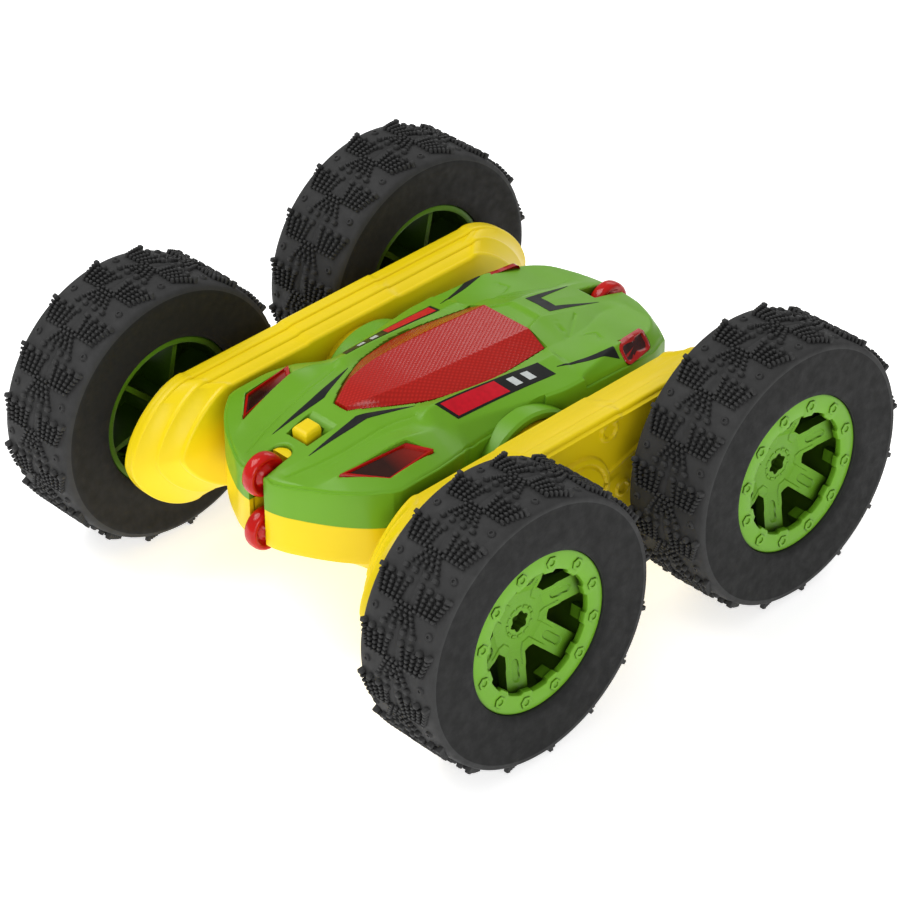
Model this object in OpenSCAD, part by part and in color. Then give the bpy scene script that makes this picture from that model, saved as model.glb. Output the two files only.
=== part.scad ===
// Small radio-controlled stunt car: a car body slung between two swinging
// arms, each arm carrying a driven front and rear wheel on one gear train.
// Frame: origin on the ground under the middle, +Z up, the nose faces -Y.

/* [Wheels] */
// Outer diameter of a tyre over its knobs
tyre_d = 62.4; // [60.8:0.2:63.2]
// Width of a tyre
tyre_w = 20.6; // [20:0.2:21]
// Distance between the front and rear axles
wheelbase = 75; // [75:0.5:76]
// Distance from the middle of the car to the middle of a tyre
half_track = 56.7; // [56.6:0.1:58]
// Diameter of the rim's outer disc
rim_d = 36; // [35.6:0.1:36.2]
// Rows of tread bars round a tyre
tread_pitches = 16; // [12:2:24]

/* [Arms] */
// Half height of an arm housing
arm_half_h = 16.3; // [16.3:0.1:17]
// Distance from the pivot to the tip of an arm
arm_reach = 57.3; // [57:0.1:58]
// Distance from the middle of the car to an arm's outer face
arm_face_x = 40; // [39.8:0.1:40.4]
// Thickness of the arm mouldings
arm_wall = 1.2; // [1:0.1:1.4]

/* [Body] */
// Thickness of the body shells
shell_wall = 1.4; // [1.2:0.1:1.6]
// Height of the joint between the body shells over the pivot
joint_h = 4.4; // [4.2:0.1:4.6]
// Angle that the nose is tipped up about the pivot
body_pitch = 2.4; // [0:0.1:4]
// Radius of an arm's pivot drum
drum_r = 12; // [11.6:0.1:12.1]
// Diameter of the nose and tail rollers
roller_d = 9.7; // [9.3:0.1:9.9]
// Width of a roller
roller_w = 3.4; // [3:0.1:3.6]

/* [Drive] */
// Tooth module of the gears
gear_module = 0.5; // [0.5:0.01:0.5]
// Play between a turning part and its shaft, on the radius
running_play = 0.06; // [0.04:0.01:0.09]
// Length of a motor can
motor_len = 15.6; // [14:0.2:15.8]
// Radius of a motor can
motor_r = 7.4; // [7:0.1:7.4]

/* [Hidden] */
$fn = 64;
eps = 0.01;
axle_z = tyre_d / 2;
tyre_r = tyre_d / 2;
rim_r = rim_d / 2;
half_base = wheelbase / 2;

// Gear train of one arm: motor pinion, two-step gear, idler, wheel gear
pinion_teeth = 10;
step_big_teeth = 40;
step_small_teeth = 14;
idler_teeth = 28;
wheel_teeth = 30;
step_y = gear_module * (pinion_teeth + step_big_teeth) / 2;
idler_y = step_y + gear_module * (step_small_teeth + idler_teeth) / 2;

// Places across the car, measured outwards from its middle
drum_in_x = 24.6;
arm_in_x = 29.6;
arm_step_x = 34.2;
arm_rim_x = 36;
arm_joint_x = 38;
gear_a_x = 31.3;
gear_b_x = 33.7;
boss_end_x = 46.4;
rim_in_x = 47.5;
rim_out_x = 65.9;

// Arm outlines: half height and reach of each step
rim_step = [arm_half_h, arm_reach];
mid_step = [arm_half_h - 0.6, arm_reach - 6.1];
inner_step = [arm_half_h - 1.2, arm_reach - 9.1];
arm_screws = [[9.8, 12], [-9.8, 12], [9.8, -12], [-9.8, -12]];

// Shafts and pins
motor_shaft_r = 1;
gear_pin_r = 1;
axle_r = 1.5;
spigot_r = 5;
bearing_wall = [21.4, 24.2];
arch_x = 26.2;
arch_r = 14.4;

// Rollers: distance along the body and height over the pivot
rollers = [
    ["nose_upper_roller", -51.5, 11],
    ["nose_lower_roller", -51.5, -2.2],
    ["tail_upper_roller", 48, 10.8],
    ["tail_lower_roller", 48, -2.2]
];
roller_pin_r = 0.8;
slot_half = 2.4;
slots = [[-58, -43.5], [41.6, 56]];
cheek = 1.4;
switch_y = -39.2;

// Body plan: distance along the body, half width
plan_points = [
    [-53.5, 4], [-51, 10.4], [-47, 18.2], [-41.8, 24.4], [-38, 26.4], [-28, 26.4],
    [-20, 24.8], [-14, 22.8], [4, 22.8], [14, 24.2], [30, 24], [40, 22.6],
    [45, 20.6], [50, 9]
];

// Upper shell: distance along the body, then [half width, height] of the
// crease, the shoulder, the ridge and the top of the side wall
crown = [
    [-53.5, [2.6, 11.9], [3.2, 11.9], [3.8, 11.8], [4, 11.2]],
    [-51, [3, 12.7], [6, 12.6], [9.4, 12.2], [10.4, 11.3]],
    [-47, [4, 14.1], [9.5, 13.9], [16, 13.4], [18.2, 12.2]],
    [-41.8, [4.6, 15.5], [12, 15.4], [20.4, 14.6], [24.4, 12.8]],
    [-38, [5, 16.4], [14, 16], [22, 14.6], [26.4, 13]],
    [-28, [5.2, 18.4], [16.5, 17.4], [22.6, 15.8], [26.4, 13.6]],
    [-20, [5.8, 19.4], [14.6, 18.4], [20, 15.8], [24.8, 12.8]],
    [-14, [6, 19.6], [14, 18.6], [19.8, 15.1], [22.8, 12]],
    [4, [6.4, 19.6], [14.6, 17.7], [22.6, 14.7], [22.8, 12]],
    [14, [6.6, 19.6], [15, 17], [23.8, 14.4], [24.2, 12]],
    [30, [5, 18], [12.4, 16.8], [20.6, 16.4], [24, 12.4]],
    [40, [5, 15.9], [12, 15.4], [19.5, 14.8], [22.6, 11.6]],
    [45, [4.5, 14.9], [10, 14.6], [15.5, 14.2], [20.6, 11]],
    [50, [3, 12.6], [5, 12.4], [7, 12], [9, 10.6]]
];

// Canopy: distance along the car, half width of its top facet, height of the
// top facet, half width at its foot, height of its foot
canopy_ribs = [
    [-30, 1.4, 18.6, 1.8, 17.9],
    [-23, 4.6, 20, 6.6, 17.8],
    [-13, 6.2, 20.5, 11.3, 17.6],
    [0, 6.6, 20.3, 13.3, 17.3],
    [17.4, 6.8, 19.8, 11.6, 17]
];

SIDES = [["left", -1], ["right", 1]];
ENDS = [["front", -1], ["rear", 1]];
BODY_NODES = [
    "lower_shell", "upper_shell", "canopy_lens", "left_headlight_lens", "right_headlight_lens",
    "left_tail_lens", "right_tail_lens", "side_plates", "circuit_board", "light_module",
    "battery_pack", "switch_housing", "charge_socket", "left_motor", "right_motor",
    "shell_screws", "roller_pins", "switch_knob"
];
ARM_NODES = ["arm_inner_shell", "arm_outer_shell", "arm_screws", "gear_pins", "drive_pinion"];
WHEEL_NODES = ["step_gear", "idler_gear", "wheel_gear", "axle", "rim", "tyre"];

green = "limegreen";
yellow = "gold";
lens_red = "red";
rubber = "dimgray";
steel = "silver";
nylon = "whitesmoke";

// ---------- helpers ----------

// A cylinder along X, between two distances from the middle
module x_rod(from_x, to_x, r) {
    translate([from_x, 0, 0]) rotate([0, 90, 0]) cylinder(r = r, h = to_x - from_x);
}

// A flat outline in Y and Z, made solid along X
module x_plate(from_x, to_x) {
    translate([from_x, 0, 0]) rotate([90, 0, 90]) linear_extrude(to_x - from_x) children();
}

// Moves the children from the axle line to the ground frame, on one side
module on_side(side) {
    translate([0, 0, axle_z]) mirror([side < 0 ? 1 : 0, 0, 0]) children();
}

// Moves the children from the pivot to the ground frame, tipped with the body
module on_body(side = 1) {
    translate([0, 0, axle_z]) rotate([-body_pitch, 0, 0]) mirror([side < 0 ? 1 : 0, 0, 0]) children();
}

module at_axle(end) {
    translate([0, end * half_base, 0]) children();
}

// Long outline with round ends, for the arm steps
module arm_outline(step, inset = 0) {
    r = step[0] - inset;
    centre = step[1] - step[0];
    translate([-centre, -r]) square([2 * centre, 2 * r]);
    for (end = [-1, 1]) translate([end * centre, 0]) circle(r = r);
}

// Spur gear outline with a tooth or a gap on the +Y axis
module gear_outline(teeth, bore_r, gap_first = false) {
    pitch_r = gear_module * teeth / 2;
    root_r = pitch_r - 1.15 * gear_module;
    tip_r = pitch_r + 0.9 * gear_module;
    tooth = 360 / teeth;
    turn = gap_first ? tooth / 2 : 0;
    function at(r, a) = [r * cos(a), r * sin(a)];
    difference() {
        polygon([
            for (i = [0:teeth - 1])
                for (corner = [[root_r, -0.33], [pitch_r, -0.2], [tip_r, -0.1],
                               [tip_r, 0.1], [pitch_r, 0.2], [root_r, 0.33]])
                    at(corner[0], turn + (i + corner[1]) * tooth)
        ]);
        circle(r = bore_r);
    }
}

module gear(from_x, to_x, teeth, bore_r, gap_first = false) {
    x_plate(from_x, to_x) gear_outline(teeth, bore_r, gap_first);
}

// Body plan outline, pulled in by a wall
module body_plan(inset = 0) {
    right = [for (p = plan_points) [p[1] - inset, p[0] * (1 - inset / 51)]];
    left = [for (i = [len(right) - 1:-1:0]) [-right[i][0], right[i][1]]];
    polygon(concat(right, left));
}

// Solid through a row of closed rings that all have the same number of points
module loft(rings) {
    n = len(rings[0]);
    last = len(rings) - 1;
    points = [for (ring = rings) for (p = ring) p];
    sides = [
        for (k = [0:last - 1]) for (i = [0:n - 1])
            [k * n + i, k * n + (i + 1) % n, (k + 1) * n + (i + 1) % n, (k + 1) * n + i]
    ];
    ends = [[for (i = [n - 1:-1:0]) i], [for (i = [0:n - 1]) last * n + i]];
    polyhedron(points, concat(sides, ends), convexity = 6);
}

// Ring across the car from its right half, given as [half width, height]
function ring(y, half) = concat(
    [for (i = [len(half) - 1:-1:0]) [half[i][0], y, half[i][1]]],
    [for (i = [0:len(half) - 1]) [-half[i][0], y, half[i][1]]]
);

// ---------- body shells ----------

module crown_solid(inset, floor_z) {
    loft([
        for (c = crown)
            ring(c[0] * (1 - inset / 51), concat(
                [for (i = [1:4]) [c[i][0] - (i > 2 ? inset : 0), c[i][1] - inset]],
                [[c[4][0] - inset, floor_z]]
            ))
    ]);
}

module canopy_solid(grow, drop) {
    loft([
        for (c = canopy_ribs)
            ring(c[0] + (c == canopy_ribs[0] ? -grow : c == canopy_ribs[4] ? grow : 0), [
                [c[1] + grow / 2, c[2] + grow / 2],
                [c[3] + grow, c[4]],
                [c[3] + grow, c[4] - drop]
            ])
    ]);
}

// Lens outlines seen from above, right side of the car
headlight_points = [[15, -44.2], [22.3, -36.7], [22.6, -24.7], [17.9, -28.3]];
tail_lens_at = [20, 29.9, 12.4];
tail_lens_size = [8, 9.4, 3.4];

module headlight_prism(grow) {
    middle = [19.5, -33.5];
    linear_extrude(7)
        polygon([for (p = headlight_points) p + (p - middle) * grow / 10]);
}

module arch_half(upper) {
    intersection() {
        difference() {
            x_rod(bearing_wall[0], arch_x, arch_r);
            x_rod(bearing_wall[0] - 1, arch_x + 1, drum_r + 0.4);
        }
        translate([0, -20, upper ? joint_h : joint_h - 40]) cube([40, 40, 40]);
    }
}

// Slots for the rollers, one at each end of the body
module roller_slots() {
    for (s = slots) translate([-slot_half, s[0], -20]) cube([2 * slot_half, s[1] - s[0], 40]);
}

// Cheeks beside the slots that hold the roller pins, cut to a side profile
module roller_cheeks(profile) {
    for (side = [0, 1]) mirror([side, 0, 0]) x_plate(slot_half, slot_half + cheek) polygon(profile);
}

module pin_bores() {
    for (r = rollers) translate([0, r[1], r[2]]) x_rod(-6, 6, roller_pin_r + 0.02);
}

module upper_shell() {
    color(green) on_body() difference() {
        union() {
            difference() {
                crown_solid(0, joint_h);
                crown_solid(shell_wall, joint_h - 1);
                canopy_solid(0.15, 8);
                for (side = [0, 1]) mirror([side, 0, 0]) {
                    translate([0, 0, 12]) headlight_prism(0.15);
                    translate(tail_lens_at - [0.2, 0.2, 0.2]) cube(tail_lens_size + [0.4, 0.4, 0.4]);
                    x_rod(10, arch_x + 1, drum_r + 0.4);
                }
                roller_slots();
                translate([-3.4, switch_y - 3.4, 10]) cube([6.8, 9.6, 10]);
            }
            for (side = [0, 1]) mirror([side, 0, 0]) arch_half(true);
            roller_cheeks([[-53, joint_h], [-53, 11.7], [-47, 13.7], [-43.6, 14.5], [-43.6, joint_h]]);
            roller_cheeks([[41.6, joint_h], [41.6, 15.2], [45, 14.5], [49.6, 12.2], [49.6, joint_h]]);
            for (p = shell_screw_places) intersection() {
                translate([p[0], p[1], joint_h]) difference() {
                    cylinder(r = 2.4, h = 14);
                    translate([0, 0, -1]) cylinder(r = 0.95, h = 6);
                }
                crown_solid(0.4, joint_h);
            }
        }
        pin_bores();
    }
}

// The lower shell's outer form, cut from the plan by a side and a front profile
module lower_shell_solid(inset) {
    low = -9 + inset;
    wall_low = -3.4 + inset / 2;
    intersection() {
        translate([0, 0, low]) linear_extrude(joint_h - low) body_plan(inset);
        rotate([90, 0, 90]) translate([0, 0, -40]) linear_extrude(80)
            polygon([[-54, joint_h], [-54, wall_low], [-40, low], [40, low], [54, wall_low], [54, joint_h]]);
        rotate([90, 0, 0]) translate([0, 0, -60]) linear_extrude(120)
            polygon([[-27, joint_h], [-27, wall_low], [-19, low], [19, low], [27, wall_low], [27, joint_h]]);
    }
}

module lower_shell() {
    color(yellow) on_body() {
        difference() {
            union() {
                difference() {
                    lower_shell_solid(0);
                    lower_shell_solid(shell_wall);
                    translate([-22, -30, joint_h - 1.6]) cube([44, 60, 3]);
                    roller_slots();
                }
                for (side = [0, 1]) mirror([side, 0, 0]) {
                    arch_half(false);
                    x_rod(bearing_wall[0], bearing_wall[1], drum_r + 0.2);
                }
                roller_cheeks([[-53.2, joint_h], [-53.2, -3.2], [-43.6, -7.6], [-43.6, joint_h]]);
                roller_cheeks([[41.6, joint_h], [41.6, -7.9], [49.6, -5], [49.6, joint_h]]);
                for (y = [slots[0][1], slots[1][0] - 0.8]) translate([-slot_half - cheek, y, -7.7])
                    cube([2 * (slot_half + cheek), 0.8, joint_h + 7.7]);
                translate([-slot_half + 0.1, -45.6, joint_h - 1]) cube([2 * slot_half - 0.2, 2.2, 9.6]);
                for (p = shell_screw_places) translate([p[0], p[1], -8.6]) cylinder(r = 2.4, h = joint_h + 8.4);
                for (x = [-16, 10]) translate([x, 12, -7.8]) cube([6, 1.2, 6]);
            }
            for (side = [0, 1]) mirror([side, 0, 0]) {
                x_rod(bearing_wall[1], arch_x + 1, drum_r + 0.4);
                x_rod(18, arch_x, spigot_r + running_play);
            }
            translate([0, rollers[0][1], rollers[0][2]]) x_rod(-slot_half, slot_half, roller_d / 2 + 0.5);
            pin_bores();
            translate([charge_x, charge_y, -12]) cylinder(r = 2.4, h = 8);
            for (p = shell_screw_places) translate([p[0], p[1], -10]) {
                cylinder(r = 1.1, h = 20);
                cylinder(r = 2, h = 1.52);
            }
        }
    }
}

shell_screw_places = [[-10.5, -33.5], [10.5, -33.5], [-17.5, 34], [17.5, 34]];
charge_x = 14;
charge_y = 28;

module shell_screws() {
    color(steel) on_body() for (p = shell_screw_places) translate([p[0], p[1], -8.9]) {
        difference() {
            cylinder(r = 1.9, h = 0.4 + eps);
            for (turn = [0, 90]) rotate([0, 0, turn]) translate([-1.3, -0.2, -1]) cube([2.6, 0.4, 1.25]);
        }
        translate([0, 0, 0.4]) cylinder(r = 0.94, h = 17);
    }
}

module side_plates() {
    color("black") on_body() intersection() {
        difference() {
            translate([0, 0, 0.35]) crown_solid(0, joint_h);
            translate([0, 0, 0.03]) crown_solid(0, joint_h - 1);
        }
        for (side = [0, 1]) mirror([side, 0, 0])
            linear_extrude(30) polygon([[13.7, -16.4], [18, -13.8], [20, 13], [15, 11.8]]);
    }
}

// Hollow under the canopy, seen from above, and the height of its roof
canopy_hollow = [[-3.4, -22], [3.4, -22], [5, -13], [5.4, 15.8], [-5.4, 15.8], [-5, -13]];
canopy_hollow_top = 18.4;

module canopy_lens() {
    color(lens_red) on_body() difference() {
        canopy_solid(0, 1.6);
        linear_extrude(canopy_hollow_top) polygon(canopy_hollow);
    }
}

module headlight_lens() {
    color(lens_red) intersection() {
        difference() {
            crown_solid(0, joint_h);
            crown_solid(1.4, joint_h - 1);
        }
        translate([0, 0, 12]) headlight_prism(0);
    }
}

module tail_lens() {
    color(lens_red) intersection() {
        difference() {
            crown_solid(0, joint_h);
            crown_solid(1.4, joint_h - 1);
        }
        translate(tail_lens_at) cube(tail_lens_size);
    }
}

// ---------- inside the body ----------

module circuit_board() {
    color("darkgreen") on_body() translate([-15, -26, 8.2]) difference() {
        cube([30, 56, 1.2]);
        translate([11, -1, -1]) cube([8, 4, 4]);
    }
}

module light_module() {
    color("linen") on_body() translate([0, -4, 9.4]) for (y = [-8, 8]) translate([0, y, 0]) {
        cylinder(r = 1.5, h = 3);
        translate([0, 0, 3]) sphere(r = 1.5);
    }
}

module battery_pack() {
    color("royalblue") on_body() difference() {
        translate([-9, 13.4, -7.5]) cube([18, 26, 11]);
        for (x = [-9, 9]) translate([x, 15, 3.5]) rotate([0, 45, 0]) cube([2, 60, 2], center = true);
    }
}

module switch_housing() {
    color("silver") on_body() translate([-4, switch_y - 3.5, 8.6]) difference() {
        cube([8, 9, 3.6]);
        translate([2.4, 1.2, 1.2]) cube([3.2, 6.6, 4]);
    }
}

module switch_knob() {
    color(yellow) on_body() translate([0, switch_y, 0]) {
        translate([-1.4, -2, 10]) cube([2.8, 2.6, 3.4]);
        intersection() {
            translate([-2.4, -2.5, 12.6]) cube([4.8, 4.6, 4.5]);
            translate([0, -0.2, 13.4]) rotate([0, 45, 0]) cube([6.2, 6, 6.2], center = true);
            translate([0, -0.2, 13.4]) rotate([45, 0, 0]) cube([6, 6.2, 6.2], center = true);
        }
    }
}

module charge_socket() {
    color("black") on_body() translate([charge_x, charge_y, -8.8]) difference() {
        union() {
            cylinder(r = 2.2, h = 1.4);
            translate([-3, -3, 1.4]) cube([6, 6, 8]);
        }
        translate([0, 0, -1]) cylinder(r = 1.25, h = 9);
    }
}

module motor() {
    color("lightsteelblue") difference() {
        union() {
            x_rod(2.4, 2.4 + motor_len, motor_r);
            x_rod(2.4 + motor_len, 18.8, 2.4);
        }
        x_rod(8, 19, motor_shaft_r + running_play);
    }
}

module roller_pins() {
    color(steel) on_body() for (r = rollers) translate([0, r[1], r[2]])
        x_rod(-slot_half - cheek, slot_half + cheek, roller_pin_r);
}

module roller(r) {
    profile = [
        [roller_pin_r + running_play, -roller_w / 2], [2.4, -roller_w / 2], [2.4, -roller_w / 2 + 0.9],
        [3.4, -roller_w / 2 + 0.9], [3.8, -roller_w / 2 + 0.2], [roller_d / 2 - 0.5, -roller_w / 2 + 0.5],
        [roller_d / 2, -roller_w / 2 + 1.4], [roller_d / 2, roller_w / 2 - 1.4],
        [roller_d / 2 - 0.5, roller_w / 2 - 0.5], [3.8, roller_w / 2 - 0.2], [3.4, roller_w / 2 - 0.9],
        [2.4, roller_w / 2 - 0.9], [2.4, roller_w / 2], [roller_pin_r + running_play, roller_w / 2]
    ];
    color(lens_red) on_body() translate([0, r[1], r[2]]) rotate([0, 90, 0])
        rotate_extrude() polygon(profile);
}

// ---------- arms, drawn for the right side about the axle line ----------

module arm_inner_shell() {
    step_floor = arm_in_x + arm_wall;
    color(yellow) difference() {
        union() {
            x_plate(arm_in_x, arm_step_x + eps) arm_outline(inner_step);
            x_plate(arm_step_x, arm_rim_x + eps) arm_outline(mid_step);
            x_plate(arm_rim_x, arm_joint_x) arm_outline(rim_step);
            x_rod(drum_in_x, arm_in_x + eps, drum_r);
            x_rod(19.6, drum_in_x + eps, spigot_r);
        }
        difference() {
            union() {
                x_plate(step_floor, arm_step_x + eps) arm_outline(inner_step, arm_wall);
                x_plate(arm_step_x, arm_rim_x + arm_wall + eps) arm_outline(mid_step, arm_wall);
                x_plate(arm_rim_x + arm_wall, arm_joint_x + 1) arm_outline(rim_step, arm_wall);
            }
            for (end = [-1, 1]) {
                at_axle(end) x_rod(step_floor - eps, gear_b_x - 0.4, 3.2);
                translate([0, end * step_y, 0]) x_rod(step_floor - eps, step_floor + 0.2, 2.2);
            }
            for (p = arm_screws) translate([0, p[0], p[1]]) x_rod(step_floor - eps, arm_joint_x, 1.5);
        }
        x_rod(10, step_floor + 1, 2.6);
        for (end = [-1, 1]) {
            at_axle(end) x_rod(step_floor, 40, axle_r + running_play);
            translate([0, end * step_y, 0]) x_rod(step_floor - 0.6, 40, gear_pin_r);
        }
        for (p = arm_screws) translate([0, p[0], p[1]]) x_rod(arm_joint_x - 5, 40, 0.82);
    }
}

module arm_outer_shell() {
    plate_in_x = arm_face_x - arm_wall;
    color(yellow) difference() {
        union() {
            difference() {
                x_plate(arm_joint_x, arm_face_x) arm_outline(rim_step);
                x_plate(arm_joint_x - 1, plate_in_x) arm_outline(rim_step, arm_wall);
            }
            x_plate(arm_face_x - eps, arm_face_x + 0.8) difference() {
                arm_outline(rim_step, 0.6);
                arm_outline(rim_step, 2);
            }
            x_rod(arm_face_x - eps, arm_face_x + 1.4, 9);
            for (end = [-1, 1]) {
                at_axle(end) {
                    x_rod(gear_b_x + 3.1, arm_face_x, 3.2);
                    x_rod(arm_face_x - eps, boss_end_x, 4);
                    x_rod(arm_face_x - eps, arm_face_x + 1.2, 8);
                }
                translate([0, end * step_y, 0]) x_rod(gear_b_x + 3.1, arm_face_x, 2.2);
                translate([0, end * idler_y, 0]) x_rod(gear_b_x + 3.1, arm_face_x, 2.2);
            }
            for (p = arm_screws) translate([0, p[0], p[1]]) {
                x_rod(arm_joint_x, arm_face_x, 2.6);
                x_rod(arm_face_x - eps, arm_face_x + 0.5, 2.6);
            }
        }
        for (end = [-1, 1]) {
            at_axle(end) x_rod(gear_b_x, boss_end_x + 1, axle_r + running_play);
            translate([0, end * step_y, 0]) x_rod(gear_b_x, arm_face_x - 0.8, gear_pin_r);
            translate([0, end * idler_y, 0]) x_rod(gear_b_x, arm_face_x - 0.8, gear_pin_r);
        }
        for (p = arm_screws) translate([0, p[0], p[1]]) {
            x_rod(arm_joint_x - 1, arm_face_x, 0.82);
            x_rod(arm_face_x - 0.6, arm_face_x + 1, 1.6);
        }
    }
}

module arm_screws_group() {
    color(steel) for (p = arm_screws) translate([0, p[0], p[1]]) {
        difference() {
            x_rod(arm_face_x - 0.6, arm_face_x + 0.3, 1.5);
            for (turn = [0, 90]) rotate([turn, 0, 0]) translate([arm_face_x, -1, -0.2]) cube([1, 2, 0.4]);
        }
        x_rod(arm_joint_x - 4.6, arm_face_x - 0.6, 0.8);
    }
}

module gear_pins() {
    color(steel) for (end = [-1, 1]) {
        translate([0, end * step_y, 0]) x_rod(arm_in_x + arm_wall - 0.6, arm_face_x - 0.8, gear_pin_r);
        translate([0, end * idler_y, 0]) x_rod(gear_b_x - 0.2, arm_face_x - 0.8, gear_pin_r);
    }
}

// Motor shaft with its pinion
module drive_pinion() {
    color("darkgoldenrod") {
        x_rod(9, gear_a_x + 3.2, motor_shaft_r);
        gear(gear_a_x, gear_a_x + 1.9, pinion_teeth, motor_shaft_r - 0.1);
    }
}

module step_gear(end) {
    bore = gear_pin_r + running_play;
    color(nylon) translate([0, end * step_y, 0]) {
        gear(gear_a_x, gear_a_x + 1.8, step_big_teeth, bore, gap_first = true);
        gear(gear_a_x + 1.8 - eps, gear_b_x + 2.7, step_small_teeth, bore);
    }
}

module idler_gear(end) {
    color(nylon) translate([0, end * idler_y, 0])
        gear(gear_b_x, gear_b_x + 2.6, idler_teeth, gear_pin_r + running_play, gap_first = true);
}

module wheel_gear(end) {
    color(nylon) at_axle(end) gear(gear_b_x - 0.1, gear_b_x + 2.7, wheel_teeth, axle_r);
}

module axle(end) {
    color(steel) at_axle(end) x_rod(arm_in_x + arm_wall + 0.3, 61, axle_r);
}

// ---------- wheels ----------

// Turns a profile of [distance along the axle, radius] about the axle
module wheel_turned(profile) {
    rotate([0, 90, 0]) rotate_extrude($fn = 96) polygon([for (p = profile) [p[1], p[0]]]);
}

rim_spokes = 6;
rim_bolts = 12;

module rim(end) {
    barrel_r = rim_r - 0.6;
    face_x = 60.5;
    color(green) at_axle(end) {
        wheel_turned([
            [rim_in_x, barrel_r - 1.4], [rim_in_x, barrel_r], [rim_out_x - 1.4, barrel_r],
            [rim_out_x - 1.4, rim_r], [rim_out_x, rim_r], [rim_out_x, rim_r - 4.6],
            [rim_out_x - 1.4, rim_r - 4.6], [rim_out_x - 1.4, barrel_r - 1.4]
        ]);
        difference() {
            x_rod(boss_end_x + 0.5, face_x + 1, 4.2);
            x_rod(boss_end_x, face_x + 0.5, axle_r);
            x_rod(face_x, face_x + 2, axle_r + 0.4);
        }
        for (i = [0:rim_spokes - 1]) rotate([i * 360 / rim_spokes + 30, 0, 0]) {
            translate([face_x - 3.2, -2.6, 3]) cube([3.2, 5.2, barrel_r - 3.6]);
            translate([face_x - 2, -1.1, 5.5]) cube([3, 2.2, 8.6]);
        }
        for (i = [0:rim_bolts - 1]) rotate([(i + 0.5) * 360 / rim_bolts, 0, 0])
            translate([0, 0, rim_r - 2.5]) rotate([0, 90, 0])
                translate([0, 0, rim_out_x - 0.5]) cylinder(r = 1.2, h = 0.9, $fn = 6);
    }
}

module tyre(end) {
    crown_r = tyre_r - 1.4;
    bead_r = rim_r - 0.58;
    w = tyre_w / 2;
    color(rubber) at_axle(end) translate([half_track, 0, 0]) {
        wheel_turned([
            [-w + 0.6, bead_r], [-w, bead_r + 2], [-w, crown_r - 6], [-w + 1.2, crown_r - 2.4],
            [-w + 4, crown_r - 0.3], [0, crown_r], [w - 4, crown_r - 0.3], [w - 1.2, crown_r - 2.4],
            [w, crown_r - 6], [w, rim_r + 1.2], [w - 1.1, rim_r + 0.02], [w - 2.6, rim_r + 0.02],
            [w - 2.6, bead_r], [w - 4.6, bead_r], [w - 4.6, crown_r - 5], [0, crown_r - 3],
            [-w + 2.6, crown_r - 5], [-w + 2.6, bead_r]
        ]);
        intersection() {
            union() {
                for (i = [0:tread_pitches - 1]) for (row = [0, 1])
                    rotate([(i + row / 2) * 360 / tread_pitches, 0, 0])
                        translate([row == 0 ? -w + 3.4 : 0.6, -1.7, -tyre_r - 1]) cube([w - 4, 3.4, 4]);
            }
            x_rod(-w, w, tyre_r);
        }
    }
}

// ---------- the whole car ----------

lower_shell();
upper_shell();
canopy_lens();
side_plates();
circuit_board();
light_module();
battery_pack();
switch_housing();
charge_socket();
shell_screws();
roller_pins();
switch_knob();
for (r = rollers) roller(r);
for (s = SIDES) {
    on_body(s[1]) headlight_lens();
    on_body(s[1]) tail_lens();
    on_side(s[1]) motor();
    on_side(s[1]) arm_inner_shell();
    on_side(s[1]) arm_outer_shell();
    on_side(s[1]) arm_screws_group();
    on_side(s[1]) gear_pins();
    on_side(s[1]) drive_pinion();
}
for (s = SIDES) for (e = ENDS) {
    place = str(s[0], "_", e[0]);
    on_side(s[1]) step_gear(e[1]);
    on_side(s[1]) idler_gear(e[1]);
    on_side(s[1]) wheel_gear(e[1]);
    on_side(s[1]) axle(e[1]);
    on_side(s[1]) rim(e[1]);
    on_side(s[1]) tyre(e[1]);
}
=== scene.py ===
"""Looks of the small stunt car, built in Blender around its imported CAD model.

Shapes are written in millimetres. Body shapes are drawn in the body's own frame,
with the origin on the wheel axle line, and are tipped with the body when made.
Wheel and arm shapes are drawn for the right side and mirrored for the left.
"""
import math

import bmesh
import bpy
import numpy as np
from mathutils import Matrix, Vector


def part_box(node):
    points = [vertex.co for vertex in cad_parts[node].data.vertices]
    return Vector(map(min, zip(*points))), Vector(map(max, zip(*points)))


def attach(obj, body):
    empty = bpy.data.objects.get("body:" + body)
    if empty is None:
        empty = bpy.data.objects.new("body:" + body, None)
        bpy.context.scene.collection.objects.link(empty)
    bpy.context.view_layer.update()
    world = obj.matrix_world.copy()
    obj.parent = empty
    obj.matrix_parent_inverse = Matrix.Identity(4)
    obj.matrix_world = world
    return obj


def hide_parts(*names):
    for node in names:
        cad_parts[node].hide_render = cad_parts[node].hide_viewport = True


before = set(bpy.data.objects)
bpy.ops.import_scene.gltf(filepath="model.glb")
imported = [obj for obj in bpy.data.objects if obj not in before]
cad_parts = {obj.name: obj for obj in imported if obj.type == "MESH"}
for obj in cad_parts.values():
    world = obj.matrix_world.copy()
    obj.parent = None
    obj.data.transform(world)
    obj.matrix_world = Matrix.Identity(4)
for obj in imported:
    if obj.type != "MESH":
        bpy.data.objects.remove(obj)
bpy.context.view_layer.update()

MM = 0.001
SIDES = {"left": -1, "right": 1}
ENDS = {"front": -1, "rear": 1}


def centre_of(node):
    """Middle of a CAD node's box, in millimetres."""
    low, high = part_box(node)
    return (Vector(low) + Vector(high)) / 2 / MM


AXLE_Z = centre_of("right_front_axle").z
HALF_BASE = abs(centre_of("right_front_axle").y)
BODY_PITCH = math.radians(2.4)


# ---------- numbers and curves ----------

def smoothstep(value, start, end):
    """0 before start, 1 after end, smooth between them."""
    t = np.clip((value - start) / (end - start), 0, 1)
    return t * t * (3 - 2 * t)


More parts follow.
